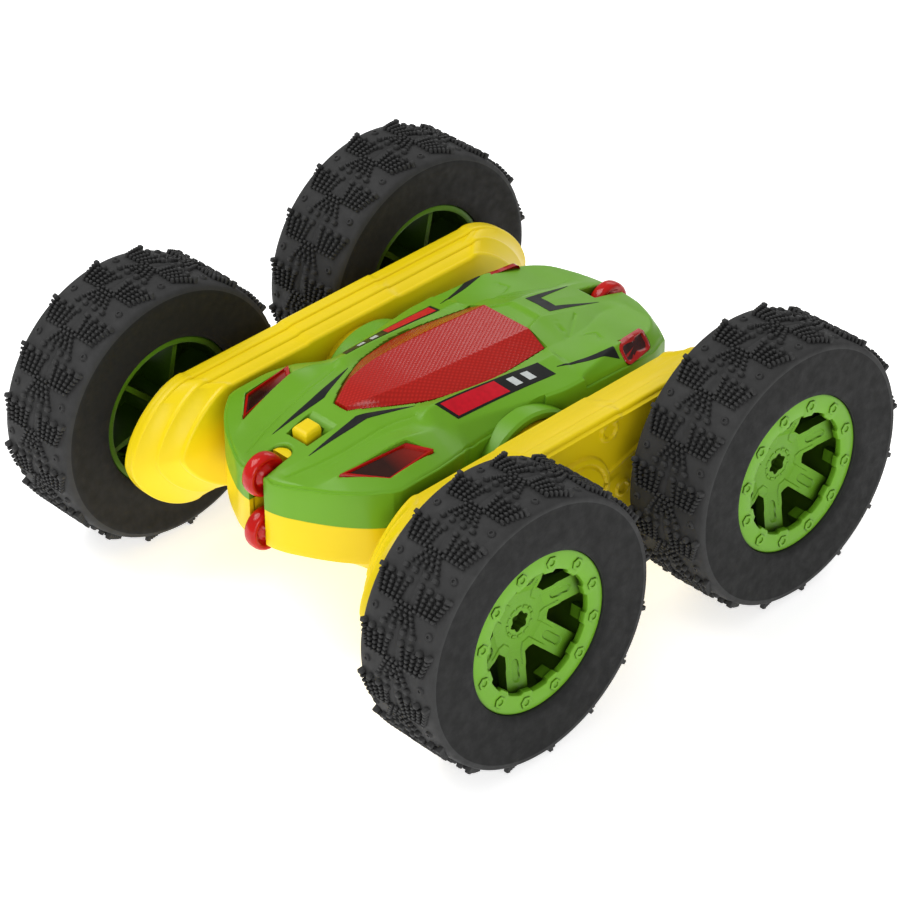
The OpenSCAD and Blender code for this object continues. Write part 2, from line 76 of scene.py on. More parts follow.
def through(stations, values, at):
    """Smooth curve through values at rising stations, without overshoot."""
    xs = np.asarray(stations, float)
    ys = np.asarray(values, float)
    step = np.diff(xs)
    slope = np.diff(ys) / step
    inner = np.zeros(len(xs))
    same = slope[:-1] * slope[1:] > 0
    inner[1:-1][same] = 2 * slope[:-1][same] * slope[1:][same] / (slope[:-1] + slope[1:])[same]
    inner[0] = slope[0]
    inner[-1] = slope[-1]
    at = np.clip(at, xs[0], xs[-1])
    k = np.clip(np.searchsorted(xs, at, side="right") - 1, 0, len(xs) - 2)
    h = step[k]
    t = (at - xs[k]) / h
    return (
        ys[k] * (1 + 2 * t) * (1 - t) ** 2
        + inner[k] * h * t * (1 - t) ** 2
        + ys[k + 1] * t * t * (3 - 2 * t)
        - inner[k + 1] * h * t * t * (1 - t)
    )


def resample(points, count, closed=False):
    """Points spread evenly along a chain of straight lines."""
    pts = np.asarray(points, float)
    if closed:
        pts = np.vstack([pts, pts[:1]])
    lengths = np.hypot(*np.diff(pts[:, :2], axis=0).T)
    along = np.concatenate([[0], np.cumsum(lengths)])
    want = np.linspace(0, along[-1], count + 1)[:-1] if closed else np.linspace(0, along[-1], count)
    return np.stack([np.interp(want, along, pts[:, i]) for i in range(pts.shape[1])], axis=1)


def smooth_chain(points, count):
    """Smooth open curve through points, spread evenly."""
    pts = np.asarray(points, float)
    along = np.concatenate([[0], np.cumsum(np.hypot(*np.diff(pts, axis=0).T))])
    fine = np.linspace(0, along[-1], 1200)
    curve = np.stack([through(along, pts[:, i], fine) for i in range(2)], axis=1)
    return resample(curve, count)


def mirrored(right_half):
    """Closed outline from its right half, which runs from the nose to the tail."""
    left = right_half[::-1] * [-1, 1]
    return np.vstack([right_half, left[1:-1]])


# ---------- mesh builders: each gives (points, faces) ----------

def rings_mesh(rings, cap_start=True, cap_end=True, closed_rings=True):
    """Skin over rings of points that all have the same count."""
    rings = [np.asarray(r, float) for r in rings]
    n = len(rings[0])
    faces = []
    span = n if closed_rings else n - 1
    for k in range(len(rings) - 1):
        a, b = k * n, (k + 1) * n
        faces += [(a + i, a + (i + 1) % n, b + (i + 1) % n, b + i) for i in range(span)]
    if cap_start:
        faces.append(tuple(range(n - 1, -1, -1)))
    if cap_end:
        last = (len(rings) - 1) * n
        faces.append(tuple(last + i for i in range(n)))
    return np.vstack(rings), faces


def turned(profile, segments=160, closed=True):
    """Turns a profile of (distance along X, radius) about the X axis."""
    prof = np.asarray(profile, float)
    angles = np.linspace(0, 2 * math.pi, segments, endpoint=False)
    rings = [
        np.stack([prof[:, 0], prof[:, 1] * math.cos(a), prof[:, 1] * math.sin(a)], axis=1)
        for a in angles
    ]
    n = len(prof)
    faces = []
    for k in range(segments):
        a, b = k * n, (k + 1) % segments * n
        span = n if closed else n - 1
        faces += [(a + i, b + i, b + (i + 1) % n, a + (i + 1) % n) for i in range(span)]
    return np.vstack(rings), faces


def yz_ring(outline, x):
    return np.column_stack([np.full(len(outline), x), outline])


def inset_outline(outline, amount):
    """Moves a closed outline inwards; it runs anticlockwise."""
    nxt = np.roll(outline, -1, axis=0)
    prev = np.roll(outline, 1, axis=0)
    e1 = outline - prev
    e2 = nxt - outline
    e1 /= np.linalg.norm(e1, axis=1)[:, None]
    e2 /= np.linalg.norm(e2, axis=1)[:, None]
    n1 = np.column_stack([-e1[:, 1], e1[:, 0]])
    n2 = np.column_stack([-e2[:, 1], e2[:, 0]])
    both = n1 + n2
    scale = 2 / np.maximum((both ** 2).sum(axis=1), 0.5)
    return outline + both * scale[:, None] * amount


def joined(parts):
    """Several meshes as one."""
    points, faces, base = [], [], 0
    for pts, fcs in parts:
        points.append(np.asarray(pts, float))
        faces += [tuple(i + base for i in f) for f in fcs]
        base += len(pts)
    return np.vstack(points), faces


def moved(shape, offset):
    return np.asarray(shape[0]) + np.asarray(offset, float), shape[1]


def spun(shape, degrees):
    """Turns a shape about the X axis."""
    a = math.radians(degrees)
    turn = np.array([[1, 0, 0], [0, math.cos(a), -math.sin(a)], [0, math.sin(a), math.cos(a)]])
    return np.asarray(shape[0]) @ turn.T, shape[1]


def flipped(shape):
    """Mirror image across the middle of the car."""
    return np.asarray(shape[0]) * [-1, 1, 1], [tuple(reversed(f)) for f in shape[1]]


def on_side(shape, side):
    """From the axle line on the right to the ground frame on either side."""
    return moved(shape if side > 0 else flipped(shape), (0, 0, AXLE_Z))


def tipped(points):
    """From the body's frame to the ground frame."""
    c, s = math.cos(BODY_PITCH), math.sin(BODY_PITCH)
    p = np.asarray(points, float)
    return np.column_stack([p[:, 0], p[:, 1] * c + p[:, 2] * s, p[:, 2] * c - p[:, 1] * s + AXLE_Z])


def on_body(shape):
    return tipped(shape[0]), shape[1]


# ---------- objects ----------

def make_object(name, shape, sharp=32):
    points, faces = shape
    mesh = bpy.data.meshes.new(name)
    mesh.from_pydata((np.asarray(points) * MM).tolist(), [], faces)
    mesh.update()
    obj = bpy.data.objects.new(name, mesh)
    bpy.context.scene.collection.objects.link(obj)
    tidy_mesh(mesh, sharp)
    return obj


def tidy_mesh(mesh, sharp):
    """Outward faces and smooth shading with crisp edges over an angle."""
    bm = bmesh.new()
    bm.from_mesh(mesh)
    bmesh.ops.remove_doubles(bm, verts=bm.verts, dist=0.004 * MM)
    bmesh.ops.recalc_face_normals(bm, faces=bm.faces)
    bm.to_mesh(mesh)
    bm.free()
    mesh.polygons.foreach_set("use_smooth", [True] * len(mesh.polygons))
    mesh.set_sharp_from_angle(angle=math.radians(sharp))


def bevelled(obj, width, segments=3, angle=30):
    """Rounds an object's hard edges and keeps the result in its mesh."""
    mod = obj.modifiers.new("round", "BEVEL")
    mod.width = width * MM
    mod.segments = segments
    mod.limit_method = "ANGLE"
    mod.angle_limit = math.radians(angle)
    mod.use_clamp_overlap = True
    keep_modifiers(obj)
    return obj


def keep_modifiers(obj, sharp=32):
    """Turns an object's modifiers into plain mesh."""
    deps = bpy.context.evaluated_depsgraph_get()
    mesh = bpy.data.meshes.new_from_object(obj.evaluated_get(deps))
    obj.modifiers.clear()
    obj.data = mesh
    tidy_mesh(mesh, sharp)


def cut(obj, shapes, sharp=32):
    """Takes shapes out of an object."""
    for k, shape in enumerate(shapes):
        tool = make_object(f"tool_{k}", shape)
        mod = obj.modifiers.new("cut", "BOOLEAN")
        mod.operation = "DIFFERENCE"
        mod.solver = "EXACT"
        mod.object = tool
        keep_modifiers(obj, sharp)
        bpy.data.objects.remove(tool)


def finish_piece(obj, body, material, nodes=()):
    """Gives a piece its material, its body and the CAD nodes that it stands for."""
    materials = material if isinstance(material, (list, tuple)) else [material]
    obj.data.materials.clear()
    for m in materials:
        obj.data.materials.append(m)
    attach(obj, body)
    if nodes:
        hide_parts(*nodes)
    return obj


def piece(name, shape, body, material, nodes=(), sharp=32):
    """A finished piece straight from its shape."""
    return finish_piece(make_object(name, shape, sharp), body, material, nodes)


# ---------- materials ----------

def new_material(name):
    material = bpy.data.materials.new(name)
    material.use_nodes = True
    tree = material.node_tree
    return material, tree, tree.nodes["Principled BSDF"]


def add_node(tree, kind, **inputs):
    node = tree.nodes.new(kind)
    for key, value in inputs.items():
        node.inputs[key.replace("_", " ")].default_value = value
    return node


def noise(tree, scale, detail=3, roughness=0.5):
    """Noise over the piece's own coordinates, in cells to the metre."""
    coords = tree.nodes.new("ShaderNodeTexCoord")
    node = add_node(tree, "ShaderNodeTexNoise", Scale=scale, Detail=detail, Roughness=roughness)
    tree.links.new(coords.outputs["Object"], node.inputs["Vector"])
    return node.outputs["Fac"]


def ranged(tree, source, low, high, from_low=0.3, from_high=0.7):
    """Maps the middle of a noise to a range."""
    node = tree.nodes.new("ShaderNodeMapRange")
    node.inputs["From Min"].default_value = from_low
    node.inputs["From Max"].default_value = from_high
    node.inputs["To Min"].default_value = low
    node.inputs["To Max"].default_value = high
    tree.links.new(source, node.inputs["Value"])
    return node.outputs["Result"]


def blended(tree, factor, first, second):
    """Mix of two colours, or of a colour and a socket, by a factor."""
    node = tree.nodes.new("ShaderNodeMix")
    node.data_type = "RGBA"
    tree.links.new(factor, node.inputs["Factor"])
    sockets = [s for s in node.inputs if s.type == "RGBA"]
    for socket, colour in zip(sockets, (first, second)):
        if isinstance(colour, bpy.types.NodeSocket):
            tree.links.new(colour, socket)
        else:
            socket.default_value = (*colour, 1)
    return [s for s in node.outputs if s.type == "RGBA"][0]


def bump(tree, shader, height, strength, distance):
    node = tree.nodes.new("ShaderNodeBump")
    node.inputs["Strength"].default_value = strength
    node.inputs["Distance"].default_value = distance
    tree.links.new(height, node.inputs["Height"])
    tree.links.new(node.outputs["Normal"], shader.inputs["Normal"])


def darker(colour, factor):
    return tuple(c * factor for c in colour)


def painted_crevice_shade(tree, reach, low=0.1, high=0.75):
    """Painted shade from ambient occlusion: 0 deep inside a recess, 1 on open faces."""
    node = tree.nodes.new("ShaderNodeAmbientOcclusion")
    node.samples = 8
    node.inputs["Distance"].default_value = reach
    return ranged(tree, node.outputs["AO"], 0, 1, low, high)


def moulded_plastic(
        name, colour, rough=(0.28, 0.4), grain=0.06, glow=0.0, deep=0.22, reach=0.006, span=(0.1, 0.75)):
    """Injection-moulded plastic: faint flow marks, satin skin, fine texture, and painted shade darkening its
    recesses.

    deep is how dark the painted shade in hollows gets, reach and span how far and how fast it darkens.
    """
    material, tree, shader = new_material(name)
    flow = ranged(tree, noise(tree, 45, 2), 0, 1)
    tint = blended(tree, flow, darker(colour, 0.93), colour)
    # Painted shade: ambient occlusion darkens the colour in creases and recesses.
    unshaded_share = painted_crevice_shade(tree, reach, *span)
    tree.links.new(blended(tree, unshaded_share, darker(colour, deep), tint), shader.inputs["Base Color"])
    tree.links.new(ranged(tree, noise(tree, 160, 4), *rough), shader.inputs["Roughness"])
    bump(tree, shader, noise(tree, 2600, 3), grain, 0.00012)
    shader.inputs["Specular IOR Level"].default_value = 0.25
    shader.inputs["Subsurface Weight"].default_value = glow
    shader.inputs["Subsurface Radius"].default_value = (0.002, 0.002, 0.0008)
    shader.inputs["Subsurface Scale"].default_value = 1.0
    return material


def rubber(name, colour):
    """Matte moulded rubber with a dusty bloom and painted shade in the gaps between its knobs."""
    material, tree, shader = new_material(name)
    dust = ranged(tree, noise(tree, 240, 6, 0.6), 0, 1)
    tint = blended(tree, dust, darker(colour, 0.78), colour)
    # Painted shade: ambient occlusion darkens the rubber in the gaps between knobs.
    unshaded_share = painted_crevice_shade(tree, 0.0012, 0.25, 0.8)
    tree.links.new(blended(tree, unshaded_share, darker(colour, 0.12), tint), shader.inputs["Base Color"])
    tree.links.new(ranged(tree, noise(tree, 500, 4), 0.62, 0.82), shader.inputs["Roughness"])
    bump(tree, shader, noise(tree, 3800, 4), 0.22, 0.00015)
    shader.inputs["Specular IOR Level"].default_value = 0.25
    return material


def metal(name, colour, rough=(0.22, 0.4)):
    """Turned or stamped metal with fine brush marks."""
    material, tree, shader = new_material(name)
    marks = ranged(tree, noise(tree, 900, 5), 0, 1)
    tint = blended(tree, marks, darker(colour, 0.82), colour)
    tree.links.new(tint, shader.inputs["Base Color"])
    tree.links.new(ranged(tree, noise(tree, 1400, 4), *rough), shader.inputs["Roughness"])
    shader.inputs["Metallic"].default_value = 1.0
    bump(tree, shader, noise(tree, 3000, 2), 0.08, 0.0001)
    return material


def sticker_film(name, colour):
    """Printed film: nearly flat black or colour with a soft sheen."""
    material, tree, shader = new_material(name)
    wear = ranged(tree, noise(tree, 700, 5), 0, 1)
    tint = blended(tree, wear, darker(colour, 0.8), colour)
    tree.links.new(tint, shader.inputs["Base Color"])
    tree.links.new(ranged(tree, noise(tree, 300, 3), 0.34, 0.5), shader.inputs["Roughness"])
    bump(tree, shader, noise(tree, 4200, 2), 0.05, 0.00005)
    shader.inputs["Specular IOR Level"].default_value = 0.15
    return material


def red_lens(name, bright, deep, cells=0.0, clear=0.0):
    """Tinted clear plastic; cells is the pitch of its moulded diamonds in millimetres."""
    material, tree, shader = new_material(name)
    if cells:
        pattern = diamonds(tree, cells)
        tree.links.new(blended(tree, pattern, deep, bright), shader.inputs["Base Color"])
        bump(tree, shader, pattern, 0.14, 0.00022)
    else:
        swirl = ranged(tree, noise(tree, 170, 3), 0, 1)
        tree.links.new(blended(tree, swirl, deep, bright), shader.inputs["Base Color"])
        bump(tree, shader, noise(tree, 420, 2), 0.05, 0.0003)
    tree.links.new(ranged(tree, noise(tree, 400, 3), 0.1, 0.2), shader.inputs["Roughness"])
    shader.inputs["Transmission Weight"].default_value = clear
    shader.inputs["Specular IOR Level"].default_value = 0.3
    return material


def diamonds(tree, pitch):
    """Rows of small diamonds seen from above: 0 in the grooves, 1 on the peaks."""
    coords = tree.nodes.new("ShaderNodeTexCoord")
    split = tree.nodes.new("ShaderNodeSeparateXYZ")
    tree.links.new(coords.outputs["Object"], split.inputs["Vector"])
    waves = []
    for sign in (1, -1):
        lean = tree.nodes.new("ShaderNodeMath")
        lean.operation = "MULTIPLY_ADD"
        lean.inputs[1].default_value = sign * 1.6
        tree.links.new(split.outputs["X"], lean.inputs[0])
        tree.links.new(split.outputs["Y"], lean.inputs[2])
        wave = tree.nodes.new("ShaderNodeMath")
        wave.operation = "PINGPONG"
        wave.inputs[1].default_value = pitch * MM / 2
        tree.links.new(lean.outputs[0], wave.inputs[0])
        waves.append(ranged(tree, wave.outputs[0], 0, 1, 0, pitch * MM / 2))
    product = tree.nodes.new("ShaderNodeMath")
    product.operation = "MULTIPLY"
    tree.links.new(waves[0], product.inputs[0])
    tree.links.new(waves[1], product.inputs[1])
    return ranged(tree, product.outputs[0], 0, 1, 0, 0.75)


def lamp_glass(name, front, back):
    """Dark glass of a headlight, lighter towards its rear end."""
    material, tree, shader = new_material(name)
    coords = tree.nodes.new("ShaderNodeTexCoord")
    split = tree.nodes.new("ShaderNodeSeparateXYZ")
    tree.links.new(coords.outputs["Object"], split.inputs["Vector"])
    along = ranged(tree, split.outputs["Y"], 0, 1, -34 * MM, -27 * MM)
    swirl = ranged(tree, noise(tree, 260, 3), 0, 1)
    dark = blended(tree, swirl, darker(front, 0.6), front)
    tree.links.new(blended(tree, along, dark, back), shader.inputs["Base Color"])
    tree.links.new(ranged(tree, noise(tree, 400, 3), 0.12, 0.22), shader.inputs["Roughness"])
    bump(tree, shader, noise(tree, 420, 2), 0.08, 0.0003)
    shader.inputs["Specular IOR Level"].default_value = 0.3
    return material


def circuit_green(name):
    """Circuit board with solder mask and a hint of traces."""
    material, tree, shader = new_material(name)
    coords = tree.nodes.new("ShaderNodeTexCoord")
    bricks = tree.nodes.new("ShaderNodeTexBrick")
    bricks.inputs["Scale"].default_value = 260
    bricks.inputs["Mortar Size"].default_value = 0.03
    bricks.inputs["Color1"].default_value = (0.008, 0.11, 0.035, 1)
    bricks.inputs["Color2"].default_value = (0.01, 0.13, 0.04, 1)
    bricks.inputs["Mortar"].default_value = (0.03, 0.24, 0.08, 1)
    tree.links.new(coords.outputs["Object"], bricks.inputs["Vector"])
    tree.links.new(bricks.outputs["Color"], shader.inputs["Base Color"])
    tree.links.new(ranged(tree, noise(tree, 500), 0.3, 0.45), shader.inputs["Roughness"])
    return material


GREEN = (0.150, 0.375, 0.016)
YELLOW = (0.880, 0.660, 0.005)

mat = {
    "green": moulded_plastic("green_plastic", GREEN, glow=0.05),
    # The rim's plastic paints strong shade deep into its spoke windows and barrel.
    "rim": moulded_plastic("rim_plastic_window_shade", GREEN, glow=0.05, deep=0.12, reach=0.02, span=(0.35, 0.8)),
    "yellow": moulded_plastic("yellow_plastic", YELLOW, glow=0.06, deep=0.7),
    "tyre": rubber("tyre_rubber", (0.036, 0.036, 0.036)),
    # Side walls: the same rubber about three times darker, painted shade on walls turned from the light.
    "tyre_side_shade": rubber("tyre_side_rubber", (0.011, 0.011, 0.011)),
    "canopy": red_lens("canopy_red", (0.50, 0.016, 0.010), (0.36, 0.008, 0.004), cells=1.45),
    "lens": red_lens("lens_red", (0.50, 0.010, 0.004), (0.36, 0.004, 0.002), clear=0.1),
    "lens_deep": red_lens("lens_deep_red", (0.09, 0.004, 0.001), (0.025, 0.002, 0.001)),
    "lamp_glass": lamp_glass("lamp_glass_red", (0.032, 0.007, 0.004), (0.27, 0.012, 0.006)),
    "roller": red_lens("roller_red", (0.62, 0.008, 0.005), (0.45, 0.004, 0.003), clear=0.1),
    "sticker": sticker_film("black_sticker", (0.012, 0.013, 0.012)),
    "sticker_red": sticker_film("red_sticker", (0.62, 0.008, 0.022)),
    "sticker_silver": sticker_film("silver_sticker", (0.6, 0.64, 0.64)),
    "steel": metal("screw_steel", (0.6, 0.6, 0.62)),
    "motor": metal("motor_steel", (0.5, 0.52, 0.55)),
    "brass": metal("brass", (0.72, 0.5, 0.2)),
    "nylon": moulded_plastic("gear_nylon", (0.78, 0.77, 0.72), grain=0.03),
    "black": moulded_plastic("black_plastic", (0.02, 0.02, 0.022)),
    "battery": moulded_plastic("battery_wrap", (0.03, 0.09, 0.4), rough=(0.2, 0.35)),
    "lamp": moulded_plastic("clear_lamp", (0.85, 0.83, 0.75), rough=(0.08, 0.2)),
    "board": circuit_green("circuit_board"),
}


# ---------- body form ----------

# Body plan: half width and distance along the body, as smooth runs that meet at corners
NOSE_RUN = [
    (0, -53.6), (3.4, -53.5), (6.6, -52.8), (10.4, -51.1),
    (14.5, -48.9), (18.2, -46.5), (22.2, -43.1), (25.7, -38.9)
]
FENDER_RUN = [(25.7, -38.9), (26.4, -36.6), (26.4, -29), (25.6, -22.5), (24.4, -18.2)]
WAIST_RUN = [
    (24.4, -18.2), (23.0, -14.8), (22.6, -11), (22.8, 4), (23.8, 12),
    (24, 30), (22.8, 39), (20.6, 44.8)
]
TAIL_RUN = [(20.6, 44.8), (16, 46.8), (9, 49.4), (4, 50.1), (0, 50.1)]
PLAN_RUNS = [(NOSE_RUN, 120), (FENDER_RUN, 46), (WAIST_RUN, 110), (TAIL_RUN, 60)]

# Upper shell: distance along the body, then (half width, height) of the middle,
# the crease, the valley, the ridge and the top of the side wall
CROWN = [
    (-53.6, (0, 12.1), (2.6, 12.1), (3.0, 12.0), (3.4, 11.9), (4, 11.4)),
    (-51, (0, 13.0), (3.6, 12.9), (5.5, 12.7), (8.8, 12.5), (10.5, 11.8)),
    (-49.3, (0, 13.5), (4.3, 13.4), (7.6, 12.8), (12.5, 12.6), (14.2, 12.0)),
    (-44, (0, 14.8), (5.7, 14.6), (10.2, 13.4), (14.6, 14.2), (21.4, 12.6)),
    (-38, (0, 16.3), (6.2, 16.1), (11.0, 14.7), (16.0, 15.7), (26.2, 12.9)),
    (-33, (0, 17.3), (6.6, 17.2), (11.8, 15.7), (16.8, 16.8), (26.4, 13.2)),
    (-28.3, (0, 18.0), (7.2, 18.1), (12.8, 16.5), (17.4, 17.5), (26.3, 13.4)),
    (-22, (0, 17.9), (9.2, 17.9), (14.0, 16.9), (18.0, 16.6), (25.5, 13.2)),
    (-17.6, (0, 17.8), (10.4, 17.7), (13.7, 18.6), (18.3, 15.5), (24.3, 12.4)),
    (-13.6, (0, 17.7), (11.4, 17.7), (13.8, 18.7), (18.8, 15.3), (22.8, 11.3)),
    (4, (0, 17.2), (13.2, 17.3), (14.6, 17.8), (22.4, 14.7), (22.8, 12)),
    (12, (0, 17.1), (12.5, 17.1), (15, 17.2), (24.1, 14.4), (23.9, 12)),
    (17.2, (0, 17.0), (11.8, 17.0), (14.9, 17.2), (24.0, 14.6), (24.0, 12.1)),
    (17.6, (0, 19.5), (6.7, 19.4), (12, 17.2), (22.9, 15.1), (24.0, 12.1)),
    (22.6, (0, 19.4), (4.5, 19.3), (11.9, 16.7), (21.9, 15.6), (24.1, 12.2)),
    (30, (0, 18.3), (5.0, 18.1), (10.8, 15.9), (20.7, 16.4), (24, 12.4)),
    (40, (0, 16.0), (5, 15.9), (7.4, 15.0), (19.6, 14.8), (22.6, 11.6)),
    (45, (0, 14.9), (4.6, 14.9), (8, 14.6), (16.2, 14.5), (20.6, 11.5)),
    (50.1, (0, 13.6), (3, 13.6), (5, 13.5), (7, 13.4), (9.4, 13.0)),
]
CROWN_Y = [row[0] for row in CROWN]

JOINT_Z = 4.4
SLOT_HALF = 2.4
DRUM_CUT_R = 12.4
CAVITY_TOP = 14.4
WALL = 1.4
NOSE_SLOT_END = -44.3
TAIL_SLOT_START = 41.6

# Canopy: distance along the body, half width and height of its top facet,
# half width and height of its foot
CANOPY = [
    (-30, 1.5, 18.4, 2.0, 17.9), (-23, 4.6, 20.0, 6.6, 17.9), (-13, 6.2, 20.4, 11.3, 17.7),
    (0, 6.6, 20.3, 13.2, 17.3), (17.4, 6.8, 19.8, 11.6, 17.0)
]
CANOPY_Y = [row[0] for row in CANOPY]

HEADLIGHT = [(15, -44.0), (22.4, -36.9), (22.6, -24.9), (17.9, -28.3)]
SWITCH_WELL = [(-3.3, -42.2), (3.3, -42.2), (4.0, -34.4), (-4.0, -34.4)]
HOOD_LINE = [(6.2, -50.6), (8.3, -44.2), (9.8, -37.8), (11.3, -25.5), (12.6, -20.5)]
WELL_FLOOR = 13.6
RAMP_RISE = 3.2
BUTTRESS_LINES = [[(6.6, 25.2), (11.7, 24.3), (6.4, 31.5)], [(12.4, 28.4), (13.4, 30.8), (16.4, 29.6)]]


def crown_height(x, y):
    """Height of the green shell's main facets over a place."""
    x = np.abs(x)
    xs = [through(CROWN_Y, [row[k][0] for row in CROWN], y) for k in range(1, 6)]
    zs = [through(CROWN_Y, [row[k][1] for row in CROWN], y) for k in range(1, 6)]
    z = zs[0]
    for k in range(4):
        width = np.maximum(xs[k + 1] - xs[k], 0.05)
        t = np.clip((x - xs[k]) / width, 0, 1)
        z = np.where(x > xs[k], zs[k] + (zs[k + 1] - zs[k]) * t, z)
    return z


def soft_crown(x, y, radius=0.3):
    """The facets with the small rounding of a moulding."""
    total = 0
    places = [(0, 0), (1, 0), (-1, 0), (0, 1), (0, -1), (0.7, 0.7), (0.7, -0.7), (-0.7, 0.7), (-0.7, -0.7)]
    for dx, dy in places:
        total = total + crown_height(x + dx * radius, y + dy * radius)
    return total / len(places)


def line_distance(x, y, corners):
    """Distance to an open chain of straight lines."""
    pts = np.asarray(corners, float)
    best = np.full(np.shape(x), 1e9)
    for a, b in zip(pts[:-1], pts[1:]):
        edge = b - a
        t = np.clip(((x - a[0]) * edge[0] + (y - a[1]) * edge[1]) / (edge @ edge), 0, 1)
        best = np.minimum(best, np.hypot(x - a[0] - t * edge[0], y - a[1] - t * edge[1]))
    return best


def polygon_distance(x, y, corners):
    """Distance to a polygon's edge, negative inside."""
    pts = np.asarray(corners, float)
    best = np.full(np.shape(x), 1e9)
    inside = np.zeros(np.shape(x), bool)
    for a, b in zip(pts, np.roll(pts, -1, axis=0)):
        edge = b - a
        t = np.clip(((x - a[0]) * edge[0] + (y - a[1]) * edge[1]) / (edge @ edge), 0, 1)
        best = np.minimum(best, np.hypot(x - a[0] - t * edge[0], y - a[1] - t * edge[1]))
        crosses = (a[1] > y) != (b[1] > y)
        at = a[0] + (y - a[1]) * edge[0] / (edge[1] if edge[1] else 1e-9)
        inside ^= crosses & (x < at)
    return np.where(inside, -best, best)


def slot_distance(x, y):
    """Distance outside the roller slots, whose inner ends are round at the nose."""
    middle = NOSE_SLOT_END - SLOT_HALF
    round_end = np.hypot(x, np.maximum(y - middle, 0)) - SLOT_HALF
    tail = np.maximum(np.abs(x) - SLOT_HALF, TAIL_SLOT_START - y)
    return np.minimum(round_end, tail)


def rounded_drop(distance, radius):
    """How far a rounded edge falls, by the distance from it."""
    t = np.clip(1 - distance / radius, 0, 1)
    return radius * (1 - np.sqrt(1 - t * t))


def canopy_foot(y):
    return through(CANOPY_Y, [row[3] for row in CANOPY], y), through(CANOPY_Y, [row[4] for row in CANOPY], y)


def shell_height(x, y):
    """Height of the finished green shell, with its pockets, lines and rounded edges."""
    z = soft_crown(x, y)
    z = z - rounded_drop(slot_distance(x, y), 0.5)
    half, foot = canopy_foot(y)
    outside = np.maximum(np.abs(x) - half, np.maximum(-30.2 - y, y - 17.5))
    z = np.where(outside < 0.14, np.minimum(z, foot - 0.9), z)
    well = polygon_distance(x, y, SWITCH_WELL)
    ramp = WELL_FLOOR + RAMP_RISE * smoothstep(y, -38.5, -34.4)
    z = z + (np.minimum(ramp, z) - z) * smoothstep(-well, 0.02, 0.3)
    lamp = polygon_distance(np.abs(x), y, HEADLIGHT)
    z = z - 0.3 * smoothstep(-lamp, -0.3, 0.05)
    roof = polygon_distance(np.abs(x), y, [(-1, 17.6), (6.3, 17.6), (4.2, 22.6), (-1, 22.6)])
    z = z - 0.4 * smoothstep(-roof, 0.02, 0.25)
    z = z - 0.16 * smoothstep(line_distance(np.abs(x), y, HOOD_LINE), 0.32, 0.08)
    for line in BUTTRESS_LINES:
        z = z - 0.18 * smoothstep(line_distance(np.abs(x), y, line), 0.34, 0.08)
    return z


def plan_outline(share=1.0):
    """Closed outline of the body; share thins its points out."""
    chains = [smooth_chain(run, int(count * share))[:-1] for run, count in PLAN_RUNS]
    return mirrored(np.vstack(chains + [[TAIL_RUN[-1]]]))


def spine_of(outline, reach=30):
    """For each outline point, the nearest place on the body's middle line."""
    return np.column_stack([np.zeros(len(outline)), np.clip(outline[:, 1], -reach, reach)])


def upper_shell_solid():
    outline = plan_outline()
    spine = spine_of(outline)
    inner = inset_outline(outline, 0.45)
    rings = []
    wall_top = crown_height(outline[:, 0] * 0.999, outline[:, 1])
    for t in (0, 0.34, 0.67, 1):
        z = JOINT_Z + (wall_top - 0.45 - JOINT_Z) * t
        rings.append(np.column_stack([outline, z]))
    for k in (1, 2, 3):
        a = math.pi / 2 * k / 3
        edge = outline + (inner - outline) * (1 - math.cos(a))
        top = wall_top - 0.45 + 0.45 * math.sin(a)
        rings.append(np.column_stack([edge, top]))
    steps = 92
    for k in range(1, steps):
        t = k / steps
        flat = inner + (spine - inner) * t
        rings.append(np.column_stack([flat, shell_height(flat[:, 0], flat[:, 1])]))
    points, faces = rings_mesh(rings, cap_end=False)
    return close_middle(points, faces, len(outline), spine)


def close_middle(points, faces, n, spine):
    """Joins the last ring to a row of points on the middle line."""
    last = len(points) - n
    middle = np.column_stack([spine, shell_height(spine[:, 0], spine[:, 1])])
    points = np.vstack([points, middle])
    base = last + n
    for i in range(n):
        j = (i + 1) % n
        if np.allclose(spine[i], spine[j]):
            faces.append((last + i, last + j, base + i))
        else:
            faces.append((last + i, last + j, base + j, base + i))
    return points, faces


def block(low, high):
    """Box between two corners, for cutting."""
    (x0, y0, z0), (x1, y1, z1) = low, high
    base = [(x0, y0), (x1, y0), (x1, y1), (x0, y1)]
    return rings_mesh([[(x, y, z0) for x, y in base], [(x, y, z1) for x, y in base]])


def prism(corners, low, high):
    """Upright prism over a polygon, for cutting."""
    return rings_mesh([[(x, y, low) for x, y in corners], [(x, y, high) for x, y in corners]])


def nose_slot(half, top, low=-20):
    """Upright cutter with a round inner end."""
    middle = NOSE_SLOT_END - SLOT_HALF
    arc = [(half * math.cos(a), middle + half * math.sin(a)) for a in np.linspace(0, math.pi, 33)]
    return prism([(-half, -60), (half, -60)] + arc, low, top)


def rod(from_x, to_x, radius, segments=64):
    angles = np.linspace(0, 2 * math.pi, segments, endpoint=False)
    ring = np.column_stack([radius * np.cos(angles), radius * np.sin(angles)])
    return rings_mesh([yz_ring(ring, from_x), yz_ring(ring, to_x)])


def grown(corners, amount):
    """Polygon with its corners moved away from its middle."""
    pts = np.asarray(corners, float)
    middle = pts.mean(axis=0)
    out = pts - middle
    return pts + out / np.linalg.norm(out, axis=1)[:, None] * amount


